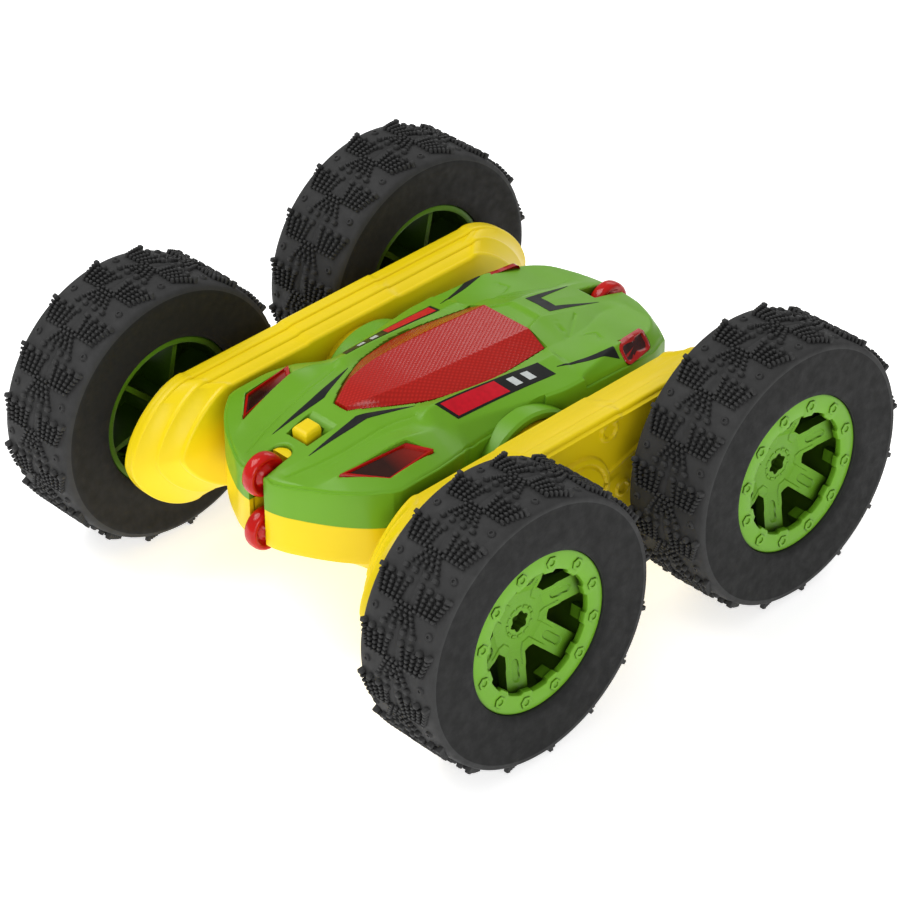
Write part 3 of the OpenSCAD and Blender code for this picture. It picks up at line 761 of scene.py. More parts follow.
def body_cavity():
    """Inside of the shells, as one low solid for cutting."""
    outline = inset_outline(plan_outline(0.3), WALL)
    outline[:, 1] *= 0.985
    z = crown_height(outline[:, 0], outline[:, 1]) - 1.9
    spine = spine_of(outline)
    rings = [np.column_stack([outline, np.full(len(outline), JOINT_Z - 2)]), np.column_stack([outline, z])]
    for t in (0.2, 0.4, 0.6, 0.8, 0.98):
        flat = outline + (spine - outline) * t
        top = crown_height(flat[:, 0], flat[:, 1]) - 1.9
        half, foot = canopy_foot(flat[:, 1])
        under = (np.abs(flat[:, 0]) < half + 2) & (flat[:, 1] > -33) & (flat[:, 1] < 25)
        top = np.where(under, np.minimum(top, foot - 2.6), top)
        rings.append(np.column_stack([flat, np.minimum(top, CAVITY_TOP)]))
    return rings_mesh(rings)


def arch(upper):
    """Rim over or under a pivot drum, drawn on the right."""
    start = math.asin(JOINT_Z / 13.4)
    sweep = (start, math.pi - start) if upper else (math.pi - start, 2 * math.pi + start)
    profile = [
        (21.6, 12.4), (25.7, 12.4), (26.1, 12.6), (26.2, 13.1),
        (26.0, 13.8), (25.4, 14.3), (24.4, 14.4), (21.6, 14.4)
    ]
    rings = []
    for a in np.linspace(*sweep, 72):
        rings.append([(x, r * math.cos(a), r * math.sin(a)) for x, r in profile])
    return rings_mesh(rings)


def slot_walls(from_z, to_z):
    """Cheeks beside the roller slots."""
    shapes = []
    for sign in (-1, 1):
        xs = sorted((sign * SLOT_HALF, sign * (SLOT_HALF + 1.3)))
        shapes.append(block((xs[0], -52.4, from_z), (xs[1], NOSE_SLOT_END - 1.5, to_z)))
        shapes.append(block((xs[0], TAIL_SLOT_START - 0.3, from_z), (xs[1], 48.6, to_z)))
    return shapes


def make_upper_shell():
    obj = make_object("shell_top", on_body(upper_shell_solid()))
    tools = [body_cavity()]
    tools += [nose_slot(SLOT_HALF, 30), block((-SLOT_HALF, TAIL_SLOT_START, -20), (SLOT_HALF, 60, 30))]
    for side in (-1, 1):
        mirror = np.array([side, 1])
        tools.append(prism(grown(HEADLIGHT, 0.12) * mirror, 8, 24))
        tools.append(tail_window(0.18, side))
        drum = rod(20, 30, DRUM_CUT_R, 96)
        tools.append(drum if side > 0 else flipped(drum))
    tools.append(prism([(-1.5, -41.6), (1.5, -41.6), (1.5, -36), (-1.5, -36)], 8, 24))
    cut(obj, [on_body(t) for t in tools], sharp=28)
    arches = [arch(True), flipped(arch(True))]
    piece(
        "shell_top_arches", on_body(joined(arches + slot_walls(JOINT_Z, 11.4))),
        "body", mat["green"])
    finish_piece(obj, "body", mat["green"], ["upper_shell"])


def tail_window(grow, side):
    """Cutter along X for the rounded window in the side near the tail."""
    outline = tail_lens_outline(grow)
    return rings_mesh([yz_ring(outline, side * 19.4), yz_ring(outline, side * 27)])


def tail_lens_outline(grow=0.0):
    return rounded_box(29.95 - grow, 12.5 - grow, 39.25 + grow, 16.1 + grow, 1.1 + grow)


LOWER_WALL_END = -4.2
FLOOR_Z = -9.0


def make_lower_shell():
    outline = inset_outline(plan_outline(), 0.05)
    flat = np.column_stack([np.clip(outline[:, 0], -20.5, 20.5), np.clip(outline[:, 1], -40, 40)])
    lower = inset_outline(outline, 0.7)
    wall = (JOINT_Z - 0.05, 1, -2.5, LOWER_WALL_END)
    rings = [np.column_stack([outline, np.full(len(outline), z)]) for z in wall]
    for k in (1, 2, 3):
        a = math.pi / 2 * k / 3
        edge = outline + (lower - outline) * (1 - math.cos(a))
        rings.append(np.column_stack([edge, np.full(len(outline), LOWER_WALL_END - 0.5 * math.sin(a))]))
    for t, z in ((0.1, -4.9), (0.5, -6.6), (0.8, -7.9), (0.95, -8.6), (1.0, -8.9)):
        edge = lower + (flat - lower) * t
        rings.append(np.column_stack([edge, np.full(len(outline), z)]))
    for t in (0.97, 0.6, 0.3, 0.05):
        rings.append(np.column_stack([flat * [t, 0.3 + 0.7 * t], np.full(len(outline), FLOOR_Z)]))
    obj = make_object("shell_base", on_body(rings_mesh(rings)))
    inside = inset_outline(plan_outline(0.3), WALL)
    floor = np.column_stack([np.clip(inside[:, 0], -19.2, 19.2), np.clip(inside[:, 1], -38.8, 38.8)])
    hollow = rings_mesh([
        np.column_stack([inside, np.full(len(inside), 6.0)]),
        np.column_stack([inside, np.full(len(inside), -3.0)]),
        np.column_stack([floor, np.full(len(inside), -7.5)]),
    ])
    tools = [hollow]
    tools += [nose_slot(SLOT_HALF, 30), block((-SLOT_HALF, TAIL_SLOT_START, -20), (SLOT_HALF, 60, 30))]
    for side in (-1, 1):
        drum = rod(20, 30, DRUM_CUT_R, 96)
        tools.append(drum if side > 0 else flipped(drum))
        for x, y in ((10.5, -33.5), (17.5, 34)):
            tools.append(post(side * x, y, 2.0, -12, -8.48))
            tools.append(post(side * x, y, 1.1, -12, -4))
    jack = Vector((14, 28, 0))
    tools.append(post(jack.x, jack.y, 2.4, -12, -4))
    cut(obj, [on_body(t) for t in tools], sharp=28)
    arches = [arch(False), flipped(arch(False))]
    walls = slot_walls(-4.4, JOINT_Z)
    back = block((-SLOT_HALF - 1.3, NOSE_SLOT_END, -7), (SLOT_HALF + 1.3, NOSE_SLOT_END + 0.9, JOINT_Z))
    front = block((-SLOT_HALF - 1.3, TAIL_SLOT_START - 0.9, -7), (SLOT_HALF + 1.3, TAIL_SLOT_START, JOINT_Z))
    piece(
        "shell_base_arches", on_body(joined(arches + walls + [back, front])),
        "body", mat["yellow"])
    finish_piece(obj, "body", mat["yellow"], ["lower_shell"])
    piece("roller_lining", on_body(roller_lining()), "body", mat["yellow"])


def post(x, y, radius, low, high):
    """Upright round tool, for cutting."""
    angles = np.linspace(0, 2 * math.pi, 40, endpoint=False)
    ring = np.column_stack([x + radius * np.cos(angles), y + radius * np.sin(angles)])
    return rings_mesh([np.column_stack([ring, np.full(40, z)]) for z in (low, high)])


def roller_lining():
    """Yellow wall behind the nose rollers, hollowed to clear them."""
    rings = []
    half = SLOT_HALF - 0.12
    middle = NOSE_SLOT_END - SLOT_HALF
    for x in np.linspace(-half, half, 25):
        back = middle + math.sqrt(max(half * half - x * x, 0)) - 0.05
        hollow = [(-51.5 + math.sqrt(5.55 ** 2 - (z - 11) ** 2), z) for z in np.linspace(6, 13.6, 9)]
        front = [(x, min(y, back - 0.02), z) for y, z in hollow]
        low = [(x, min(-45.9, back - 0.02), 2.0)]
        rings.append(low + front + [(x, back, 13.75), (x, back, 2.0)])
    return rings_mesh(rings)


# ---------- lenses, stickers and small body parts ----------

def canopy_surface(x_share, y):
    """A place on the canopy: x_share runs from -1 at the left foot to 1 at the right."""
    top_half = through(CANOPY_Y, [row[1] for row in CANOPY], y)
    top_z = through(CANOPY_Y, [row[2] for row in CANOPY], y)
    half, foot = canopy_foot(y)
    u = np.abs(x_share)
    split = 0.5
    on_top = u < split
    x = np.where(on_top, top_half * u / split, top_half + (half - top_half) * (u - split) / (1 - split))
    z = np.where(on_top, top_z, top_z + (foot - top_z) * (u - split) / (1 - split))
    return np.sign(x_share) * x, z


def make_canopy():
    ys = np.concatenate([np.linspace(-30, -13, 60), np.linspace(-12.7, 17.2, 70)])
    shares = np.linspace(-1, 1, 81)
    rings = []
    for k, y in enumerate(ys):
        x, z = canopy_surface(shares, np.full(81, y))
        top = np.column_stack([x, np.full(81, y), z])
        floor_z = canopy_foot(np.array([y]))[1][0] - 0.8
        under = np.column_stack([x[::-1] * 0.97, np.full(81, y), np.full(81, floor_z)])
        rings.append(np.vstack([top, under]))
    points, faces = rings_mesh(rings)
    piece("canopy", on_body((points, faces)), "body", mat["canopy"], ["canopy_lens"], sharp=50)


def plane_through(corners):
    """Flat that best fits the shell's height at some corners."""
    pts = np.asarray(corners, float)
    base = np.column_stack([pts, np.ones(len(pts))])
    return np.linalg.lstsq(base, soft_crown(pts[:, 0], pts[:, 1]), rcond=None)[0]


def shrunk_rings(corners, steps):
    """Rings over a polygon's plane: each is shrunk by a share and lowered by a drop."""
    outline = resample(corners, 120, closed=True)
    centre = outline.mean(axis=0)
    plane = plane_through(corners)
    rings = []
    for share, drop in steps:
        flat = centre + (outline - centre) * share
        rings.append(np.column_stack([flat, flat @ plane[:2] + plane[2] - drop]))
    return rings


RIM_STEPS = [(1, 1.7), (1, 0.12), (0.985, 0.02), (0.87, 0.02), (0.84, 0.5), (0.5, 0.6), (0.02, 0.6)]
GLASS_STEPS = [(0.86, 0.66), (0.86, 0.46), (0.84, 0.43), (0.6, 0.4), (0.3, 0.38), (0.02, 0.38)]


def make_headlight(side, sign):
    """Thin bright rim round a sunk pane of dark glass."""
    corners = np.array(HEADLIGHT) * [sign, 1]
    piece(
        f"{side}_headlight", on_body(rings_mesh(shrunk_rings(corners, RIM_STEPS))),
        "body", mat["lens"], [f"{side}_headlight_lens"], sharp=40)
    piece(
        f"{side}_headlight_pane", on_body(rings_mesh(shrunk_rings(corners, GLASS_STEPS))),
        "body", mat["lamp_glass"])


def pull_in(outline, centre, amount):
    out = outline - centre
    far = np.linalg.norm(out, axis=1)[:, None]
    return centre + out * np.maximum(far - amount, 0.02) / far


def paint_middle(obj, rings, first):
    """Second material on the faces inside a ring."""
    inside = {tuple(np.round(p * MM, 7)) for ring in rings[first:] for p in tipped(ring)}
    for face in obj.data.polygons:
        corners = [tuple(np.round(obj.data.vertices[v].co, 7)) for v in face.vertices]
        if all(corner in inside for corner in corners):
            face.material_index = 1


def make_lenses():
    for side, sign in SIDES.items():
        make_headlight(side, sign)
        make_tail_lens(side, sign)


def make_tail_lens(side, sign):
    """Rounded lens in the flank: rim proud, middle sunk."""
    rings = []
    rim = tail_lens_outline()
    centre = rim.mean(axis=0)
    for inward, out in ((0, -1.2), (0, 0.0), (0.15, 0.15), (0.7, 0.15), (0.95, -0.35), (1.3, -0.5)):
        flat = pull_in(rim, centre, inward)
        rings.append(flank_ring(flat, out, sign))
    for t in (0.5, 0.02):
        flat = centre + (pull_in(rim, centre, 1.3) - centre) * t
        rings.append(flank_ring(flat, -0.5, sign))
    obj = piece(
        f"{side}_tail_light", on_body(rings_mesh(rings)),
        "body", [mat["lens"], mat["lens_deep"]], [f"{side}_tail_lens"], sharp=40)
    paint_middle(obj, rings, 4)


def rounded_box(y0, z0, y1, z1, radius):
    """Closed outline of a box with round corners, in Y and Z."""
    corners = [(y1 - radius, z0 + radius, -90), (y1 - radius, z1 - radius, 0),
               (y0 + radius, z1 - radius, 90), (y0 + radius, z0 + radius, 180)]
    points = []
    for y, z, start in corners:
        for a in np.linspace(start, start + 90, 9):
            points.append((y + radius * math.cos(math.radians(a)), z + radius * math.sin(math.radians(a))))
    return resample(points, 72, closed=True)


def flank_x(y, z):
    """Half width of the flank between the ridge and the wall top."""
    ridge_x = through(CROWN_Y, [row[4][0] for row in CROWN], y)
    ridge_z = through(CROWN_Y, [row[4][1] for row in CROWN], y)
    wall_x = through(CROWN_Y, [row[5][0] for row in CROWN], y)
    wall_z = through(CROWN_Y, [row[5][1] for row in CROWN], y)
    t = np.clip((ridge_z - z) / np.maximum(ridge_z - wall_z, 0.1), 0, 1)
    return ridge_x + (wall_x - ridge_x) * t


def flank_ring(flat, out, sign):
    x = flank_x(flat[:, 0], flat[:, 1]) + out
    return np.column_stack([sign * x, flat[:, 0], flat[:, 1]])


def draped_strip(edge_a, edge_b, lift, thick, along=60, across=8):
    """Thin sheet between two edges, lying on the green shell."""
    a = resample(edge_a, along)
    b = resample(edge_b, along)
    rings = []
    for p, q in zip(a, b):
        t = np.linspace(0, 1, across + 1)[:, None]
        flat = p + (q - p) * t
        z = soft_crown(flat[:, 0], flat[:, 1]) + lift
        top = np.column_stack([flat, z])
        under = np.column_stack([flat, z - thick])[::-1]
        rings.append(np.vstack([top, under]))
    return rings_mesh(rings)


def make_stickers():
    for side, sign in SIDES.items():
        flip = np.array([sign, 1])
        stripe = draped_strip(
            np.array([(5.6, -44.0), (4.9, -30.3), (10.3, -18.9)]) * flip,
            np.array([(5.7, -43.9), (7.3, -29.4), (10.4, -18.8)]) * flip, 0.06, 0.1, across=4)
        piece(f"{side}_hood_stripe", on_body(stripe), "body", mat["sticker"])
        make_side_plate(side, flip)
        wedge = draped_strip(
            np.array([(17.9, 14.7), (20.4, 28.9)]) * flip,
            np.array([(18.0, 14.6), (22.6, 28.9)]) * flip, 0.06, 0.1)
        piece(f"{side}_flank_wedge", on_body(wedge), "body", mat["sticker"])
    chevron = draped_strip(
        [(-4.8, 40.4), (-3.8, 26.5), (3.8, 26.5), (4.8, 40.4)],
        [(-4.7, 40.3), (-2.3, 29.7), (2.3, 29.7), (4.7, 40.3)], 0.06, 0.1, along=120)
    finish_piece(make_object("tail_chevron", on_body(chevron)), "body", mat["sticker"])


def make_side_plate(side, flip):
    """Black label with a plain red field and two pale slashes."""
    top = np.array([(13.7, -16.4), (15, 11.8)])
    low = np.array([(18, -13.8), (19.4, 13)])

    def field(start, end, inset, lift):
        t = np.array([[start], [end]])
        a = top[0] + (top[1] - top[0]) * t
        b = low[0] + (low[1] - low[0]) * t
        return draped_strip((a + (b - a) * inset) * flip, (b + (a - b) * inset) * flip, lift, 0.1)

    obj = make_object(f"{side}_label", on_body(field(0, 1, 0, 0.08)))
    if side == "right":
        finish_piece(obj, "body", mat["sticker"], ["side_plates"])
    else:
        finish_piece(obj, "body", mat["sticker"])
    span, bars = ((0.03, 0.55), (0.64, 0.78)) if side == "right" else ((0.45, 0.97), (0.15, 0.29))
    piece(
        f"{side}_label_field", on_body(field(*span, 0.1, 0.12)),
        "body", mat["sticker_red"])
    for k, start in enumerate(bars):
        piece(
            f"{side}_label_bar_{k}", on_body(field(start, start + 0.07, 0.24, 0.12)),
            "body", mat["sticker_silver"])


def make_switch_knob():
    """Faceted slide button standing in its well."""
    middle = centre_of("switch_knob")
    y = middle.y * math.cos(BODY_PITCH) - (middle.z - AXLE_Z) * math.sin(BODY_PITCH)
    rings = []
    for z, x, y0, y1, rise in (
            (12.7, 2.1, -2.1, 2.0, 0), (16.6, 2.25, -2.3, 2.1, 0.2), (17.1, 1.8, -1.7, 1.8, 0.6)):
        rings.append([(-x, y + y0, z), (x, y + y0, z), (x, y + y1, z + rise), (-x, y + y1, z + rise)])
    obj = make_object("switch_button", on_body(rings_mesh(rings)), sharp=20)
    bevelled(obj, 0.3, 4, 15)
    piece(
        "switch_stem", on_body(block((-1.35, y - 1.9, 10.1), (1.35, y + 0.5, 12.9))),
        "switch_knob", mat["yellow"])
    finish_piece(obj, "switch_knob", mat["yellow"], ["switch_knob"])


def make_rollers():
    profile = [
        (-1.65, 0.9), (-1.65, 1.5), (-1.45, 1.75), (-0.95, 2.1), (-0.75, 2.6), (-0.95, 3.1), (-1.45, 3.5),
        (-1.66, 3.9), (-1.6, 4.3), (-1.25, 4.62), (-0.7, 4.8), (0, 4.84)
    ]
    profile = profile + [(-x, r) for x, r in reversed(profile[:-1])]
    for place in ("nose_upper", "nose_lower", "tail_upper", "tail_lower"):
        node = f"{place}_roller"
        middle = centre_of(node)
        piece(
            f"{place}_wheel", moved(turned(profile, 96), middle),
            node, mat["roller"], [node], sharp=40)


# ---------- arms ----------

# Steps of the arm: where the end curve starts along Y, its reach, how square it is,
# and the heights of the top and the foot
STEP_RIM = (41.5, 57.8, 1.22, 15.6, -15.7)
STEP_MID = (39.6, 53.6, 1.33, 15.3, -12.6)
STEP_INNER = (36.3, 49.8, 1.44, 14.4, -11.2)
ARM_FACE_X = 38.8
ARM_BACK_X = 28.6
ARM_JOINT_X = 37.0
SCREW_Y, SCREW_Z = 9.8, 12
BOSS_PROFILE = [
    (38.7, 1.6), (38.7, 5.2), (40.2, 4.6), (41.0, 4.05), (46.1, 3.9), (46.4, 3.6), (46.4, 1.6)
]
GEAR_PIN_Y = (12.5, 23)


def arm_outline(step, count=360):
    """Long outline with softly pointed ends, anticlockwise in Y and Z."""
    start, reach, power, top, foot = step
    turn = np.linspace(-math.pi / 2, math.pi / 2, 121)
    y = start + (reach - start) * np.cos(turn) ** power
    z = (top + foot) / 2 + (top - foot) / 2 * np.sign(turn) * np.abs(np.sin(turn)) ** power
    left_end = np.column_stack([-y, z])[::-1]
    outline = resample(np.vstack([np.column_stack([y, z]), left_end]), count, closed=True)
    far = np.abs(outline[:, 0])
    edge = (outline[:, 1] > top - 1) | (outline[:, 1] < foot + 1)
    band = 0.3 * smoothstep(far, 12.6, 13.4) * smoothstep(far, start - 0.4, start - 1.6)
    outline[:, 1] -= np.sign(outline[:, 1]) * band * edge
    return outline


def arm_spine(outline, reach=40):
    return np.column_stack([np.clip(outline[:, 0], -reach, reach), np.zeros(len(outline))])


def edge_rings(outline, x_face, x_dir, radius, steps=3):
    """Rings that round an edge from a wall onto a face."""
    rings = []
    for k in range(1, steps + 1):
        a = math.pi / 2 * k / steps
        ring = inset_outline(outline, radius * (1 - math.cos(a)))
        rings.append(yz_ring(ring, x_face - x_dir * radius * (1 - math.sin(a))))
    return rings


def arm_inner_solid():
    """Stepped moulding on the body side of an arm, drawn on the right."""
    rim, mid, inner = arm_outline(STEP_RIM), arm_outline(STEP_MID), arm_outline(STEP_INNER)
    rings = [yz_ring(inset_outline(rim, 0.02), ARM_JOINT_X), yz_ring(rim, 36.8), yz_ring(rim, 36.0)]
    rings += edge_rings(rim, 35.5, -1, 0.45)
    rings += [yz_ring(inset_outline(mid, -0.1), 33.3), yz_ring(mid, 33.1), yz_ring(mid, 32.7)]
    rings += edge_rings(mid, 32.2, -1, 0.5)
    rings += [yz_ring(inset_outline(inner, -0.1), 29.8), yz_ring(inner, 29.65), yz_ring(inner, 29.4)]
    rings += edge_rings(inner, ARM_BACK_X, -1, 0.8, 6)
    base = inset_outline(inner, 0.8)
    spine = arm_spine(base, 33)
    for t in (0.3, 0.6, 0.97):
        rings.append(yz_ring(base + (spine - base) * t, ARM_BACK_X))
    return rings_mesh(rings)


def drum_solid():
    """Pivot drum and spigot that run into the body."""
    profile = [
        (30, 12.0), (29.9, 12.0), (25.2, 12.0), (24.75, 11.9), (24.62, 11.5), (24.6, 5.4),
        (24.3, 5.0), (20.0, 5.0), (19.6, 4.7), (19.6, 2.7), (19.9, 2.6), (29.6, 2.6)
    ]
    return turned(profile, 128)


def face_relief(y, z):
    """How far the arm's outer face stands above its flat, in millimetres."""
    far = np.hypot(y, z)
    edge = outline_distance(y, z)
    x = 0.7 * smoothstep(edge, 2.3, 1.9) * smoothstep(edge, 0.1, 0.5)
    x = x - 0.25 * smoothstep(edge, 2.3, 2.7) * smoothstep(edge, 3.6, 3.2)
    dome = 1.35 * np.sqrt(np.clip(1 - (far / 10.2) ** 2, 0, 1)) + 0.35
    x = np.maximum(x, dome * smoothstep(far, 9.4, 9.0))
    x = x - 0.5 * smoothstep(np.abs(far - 7.4), 0.5, 0.25)
    for sy in (-1, 1):
        for sz in (-1, 1):
            hole = np.hypot(y - sy * 9.8, z - sz * 12)
            x = np.maximum(x, 0.5 * smoothstep(hole, 2.8, 2.5))
            x = x - 1.5 * smoothstep(hole, 1.75, 1.55)
        ring = np.hypot(y - sy * 13.4, z + 4.2)
        x = np.maximum(x, 0.45 * smoothstep(np.abs(ring - 1.6), 0.5, 0.3))
        web = np.abs(z - (np.abs(y) - 9) * 0.28 - 1.5)
        on_web = smoothstep(np.abs(y), 9, 9.6) * smoothstep(np.abs(y), 30, 29.4) * (y * sy > 0)
        x = np.maximum(x, 0.5 * smoothstep(web, 0.55, 0.35) * on_web)
        cap = np.hypot(y - sy * 37.5, z)
        x = np.maximum(x, 1.1 * smoothstep(cap, 8.3, 7.9))
        x = np.maximum(x, 0.55 * smoothstep(np.abs(cap - 10.6), 0.55, 0.35))
    return x


def outline_distance(y, z):
    """Distance inside the arm's outline."""
    reach = 42.0
    dy = np.maximum(np.abs(y) - reach, 0)
    return 15.7 - np.hypot(dy, z)


def arm_outer_solid():
    """Cover on the wheel side of an arm with its ribs and rings, drawn on the right."""
    rim = arm_outline(STEP_RIM, 720)
    rings = [yz_ring(inset_outline(rim, 0.02), ARM_JOINT_X), yz_ring(rim, 37.2), yz_ring(rim, 38.0)]
    rings += edge_rings(rim, ARM_FACE_X, 1, 0.8, 5)
    base = inset_outline(rim, 0.8)
    spine = arm_spine(base, 41)
    steps = 58
    for k in range(1, steps + 1):
        t = (k / steps) ** 0.92 * 0.992
        flat = base + (spine - base) * t
        rings.append(np.column_stack([ARM_FACE_X + face_relief(flat[:, 0], flat[:, 1]), flat]))
    return rings_mesh(rings)


def screw_heads():
    """Pan heads with cross slots, sunk in the arm's outer face."""
    profile = [
        (36.0, 0.05), (36.0, 0.8), (37.7, 0.8), (37.75, 1.5),
        (38.3, 1.48), (38.6, 1.2), (38.72, 0.6), (38.74, 0.05)
    ]
    heads, slots = [], []
    for sy in (-1, 1):
        for sz in (-1, 1):
            place = (0, sy * SCREW_Y, sz * SCREW_Z)
            heads.append(moved(turned(profile, 48), place))
            for long, wide in ((0.9, 0.2), (0.2, 0.9)):
                slots.append(moved(block((38.35, -long, -wide), (39.2, long, wide)), place))
    return joined(heads), slots


def make_arm_metal(side, sign):
    """Screws in the cover and pins of the gears."""
    heads, slots = screw_heads()
    screws = make_object(f"{side}_cover_screws", on_side(heads, sign))
    cut(screws, [on_side(slot, sign) for slot in (joined(slots[0::2]), joined(slots[1::2]))])
    finish_piece(screws, f"{side}_arm", mat["steel"], [f"{side}_arm_screws"])
    pin = turned([(30.3, 0.05), (30.3, 0.85), (30.45, 1.0), (37.2, 1.0), (37.35, 0.85), (37.35, 0.05)], 40)
    pins = joined([moved(pin, (0, y, 0)) for y in (-GEAR_PIN_Y[1], -GEAR_PIN_Y[0], *GEAR_PIN_Y)])
    piece(
        f"{side}_gear_shafts", on_side(pins, sign),
        f"{side}_arm", mat["steel"], [f"{side}_gear_pins"])


def make_arms():
    for side, sign in SIDES.items():
        body = f"{side}_arm"
        piece(
            f"{side}_arm_case", on_side(arm_inner_solid(), sign),
            body, mat["yellow"], [f"{side}_arm_inner_shell"], sharp=40)
        piece(f"{side}_arm_drum", on_side(drum_solid(), sign), body, mat["yellow"])
        piece(
            f"{side}_arm_cover", on_side(arm_outer_solid(), sign),
            body, mat["yellow"], [f"{side}_arm_outer_shell"], sharp=40)
        for end, way in ENDS.items():
            boss = turned(BOSS_PROFILE, 72)
            place = on_side(moved(boss, (0, way * HALF_BASE, 0)), sign)
            piece(f"{side}_{end}_axle_boss", place, body, mat["yellow"])
        make_arm_metal(side, sign)


# ---------- wheels ----------

FLANGE_X = 65.9
FACE_X = 60.5


def barrel():
    """Open cup of the rim with its flange and inner lip."""
    profile = [
        (47.6, 15.9), (47.5, 16.2), (47.5, 17.1), (47.7, 17.38), (64.3, 17.38), (64.5, 17.5), (64.5, 17.8),
        (64.8, 18.0), (65.5, 18.0), (65.8, 17.85), (65.9, 17.5), (65.9, 14.1), (65.8, 13.85), (65.5, 13.7),
        (64.6, 13.7), (64.4, 13.9), (64.3, 15.6), (58, 15.9)
    ]
    points, faces = turned(profile, 288)
    radius = np.hypot(points[:, 1], points[:, 2])
    angle = np.degrees(np.arctan2(points[:, 1], points[:, 2]))
    near_bolt = np.abs((angle - 15 + 15) % 30 - 15)
    lobe = 0.6 * smoothstep(near_bolt, 7.0, 5.0)
    inner_lip = (radius < 14.3) & (points[:, 0] > 64)
    scale = np.where(inner_lip, (radius - lobe) / radius, 1)
    points[:, 1] *= scale
    points[:, 2] *= scale
    return points, faces


SPOKES = 6
SPOKE_HALF = 2.8
HUB_FLAT = 7.6
SPOKE_TURN = 45


def wheel_face():
    """Hub plate before its windows are cut, as a relief turned round the axle."""
    radii = np.concatenate([np.linspace(0.05, 2.9, 18), np.linspace(3.0, 16.1, 96)])
    angles = np.radians(np.arange(0, 360, 1.0))
    r, a = np.meshgrid(radii, angles)
    x = face_relief_of(r, a)
    n = len(radii)
    y, z = r * np.sin(a), r * np.cos(a)
    front = np.stack([x, y, z], axis=2)
    back = np.stack([x - 2.4, y, z], axis=2)[:, ::-1]
    loops = np.concatenate([front, back], axis=1)
    points = loops.reshape(-1, 3)
    m = 2 * n
    faces = []
    for k in range(len(angles)):
        p, q = k * m, (k + 1) % len(angles) * m
        faces += [(p + i, q + i, q + (i + 1) % m, p + (i + 1) % m) for i in range(m)]
    return points, faces


def face_relief_of(r, a):
    """Front of the hub plate along X at a radius and an angle from the top."""
    pitch = 2 * math.pi / SPOKES
    spoke = (a - math.radians(SPOKE_TURN)) % pitch
    off = np.minimum(spoke, pitch - spoke)
    along, across = r * np.cos(off), r * np.sin(off)
    flat = r * np.cos(pitch / 2 - off)
    x = FACE_X + 3.0 * np.clip((along - 6.6) / 8.2, 0, 1)
    strip = smoothstep(flat, 5.25, 5.5) * smoothstep(across, 1.8, 2.0) * smoothstep(along, 10.5, 9)
    x = x + 0.25 * strip
    slot = np.hypot(np.maximum(np.maximum(9.2 - along, along - 11.7), 0), across)
    x = x - 0.35 * smoothstep(slot, 1.0, 0.8)
    ring = smoothstep(np.abs(r - 3.35), 0.4, 0.25) * smoothstep(np.abs(off - 0.26), 0.2, 0.17)
    x = x + 0.2 * ring
    lobed = r - 1.95 - 0.25 * np.cos(6 * (a - math.radians(SPOKE_TURN)))
    x = x - 2.3 * smoothstep(lobed, 0.12, -0.05)
    return x - 2.5 * smoothstep(along, 14.9, 15.2)


def window(k):
    """Cutter for the gap between two spokes."""
    far = 17.0
    near_half = (HUB_FLAT / 2 - SPOKE_HALF) / math.cos(math.pi / 6)
    far_half = (far / 2 - SPOKE_HALF) / math.cos(math.pi / 6)
    outline = [(-near_half, HUB_FLAT), (near_half, HUB_FLAT), (far_half, far), (-far_half, far)]
    tool = rings_mesh([yz_ring(np.array(outline), x) for x in (FACE_X - 9, FACE_X + 6)])
    return spun(tool, 30 - SPOKE_TURN - 60 * k)


def make_rim_shape():
    face = make_object("wheel_face", wheel_face())
    cut(face, [joined([window(k) for k in range(SPOKES)])])
    points = np.array([v.co[:] for v in face.data.vertices]) / MM
    faces = [tuple(p.vertices) for p in face.data.polygons]
    bpy.data.objects.remove(face)
    parts = [barrel(), (points, faces)]
    parts.append(turned([(47, 1.55), (47, 4.1), (58.3, 4.4), (58.3, 1.55)], 64))
    for k in range(SPOKES):
        rib = block((49, -0.6, 4), (FACE_X - 2.2, 0.6, 15.8))
        parts.append(spun(rib, -60 * k - SPOKE_TURN))
        lug = block((61.6, -1.3, 13.6), (64.4, 1.3, 16.2))
        parts.append(spun(lug, 30 - SPOKE_TURN - 60 * k))
    for k in range(12):
        parts.append(spun(bolt(), 30 * k + 15))
    return joined(parts)


def bolt():
    """Hexagon head with a round dimple, over the flange at the top."""
    angles = np.radians(np.arange(0, 360, 12))
    hexagon = math.cos(math.pi / 6) / np.cos((angles % (math.pi / 3)) - math.pi / 6)
    rings = []
    for x, size, six in ((-0.3, 1.4, 1), (0.22, 1.4, 1), (0.34, 1.28, 1), (0.34, 0.72, 0), (0.1, 0.62, 0)):
        r = size * (hexagon if six else np.ones(len(angles)))
        rings.append(yz_ring(np.column_stack([r * np.cos(angles), 15.6 + r * np.sin(angles)]), FLANGE_X + x))
    return rings_mesh(rings)


TYRE_X = 56.7
TYRE_HALF = 10.29
TREAD_CROWN = [(9.9, 29.7), (8.4, 29.95), (6.0, 30.12), (3.0, 30.25), (0.35, 30.3)]
SIDE_WALL = [
    (10.3, 20.6), (10.3, 22.5), (10.35, 24.4), (10.6, 26.2), (10.85, 27.5), (10.8, 28.5), (10.4, 29.3)
]


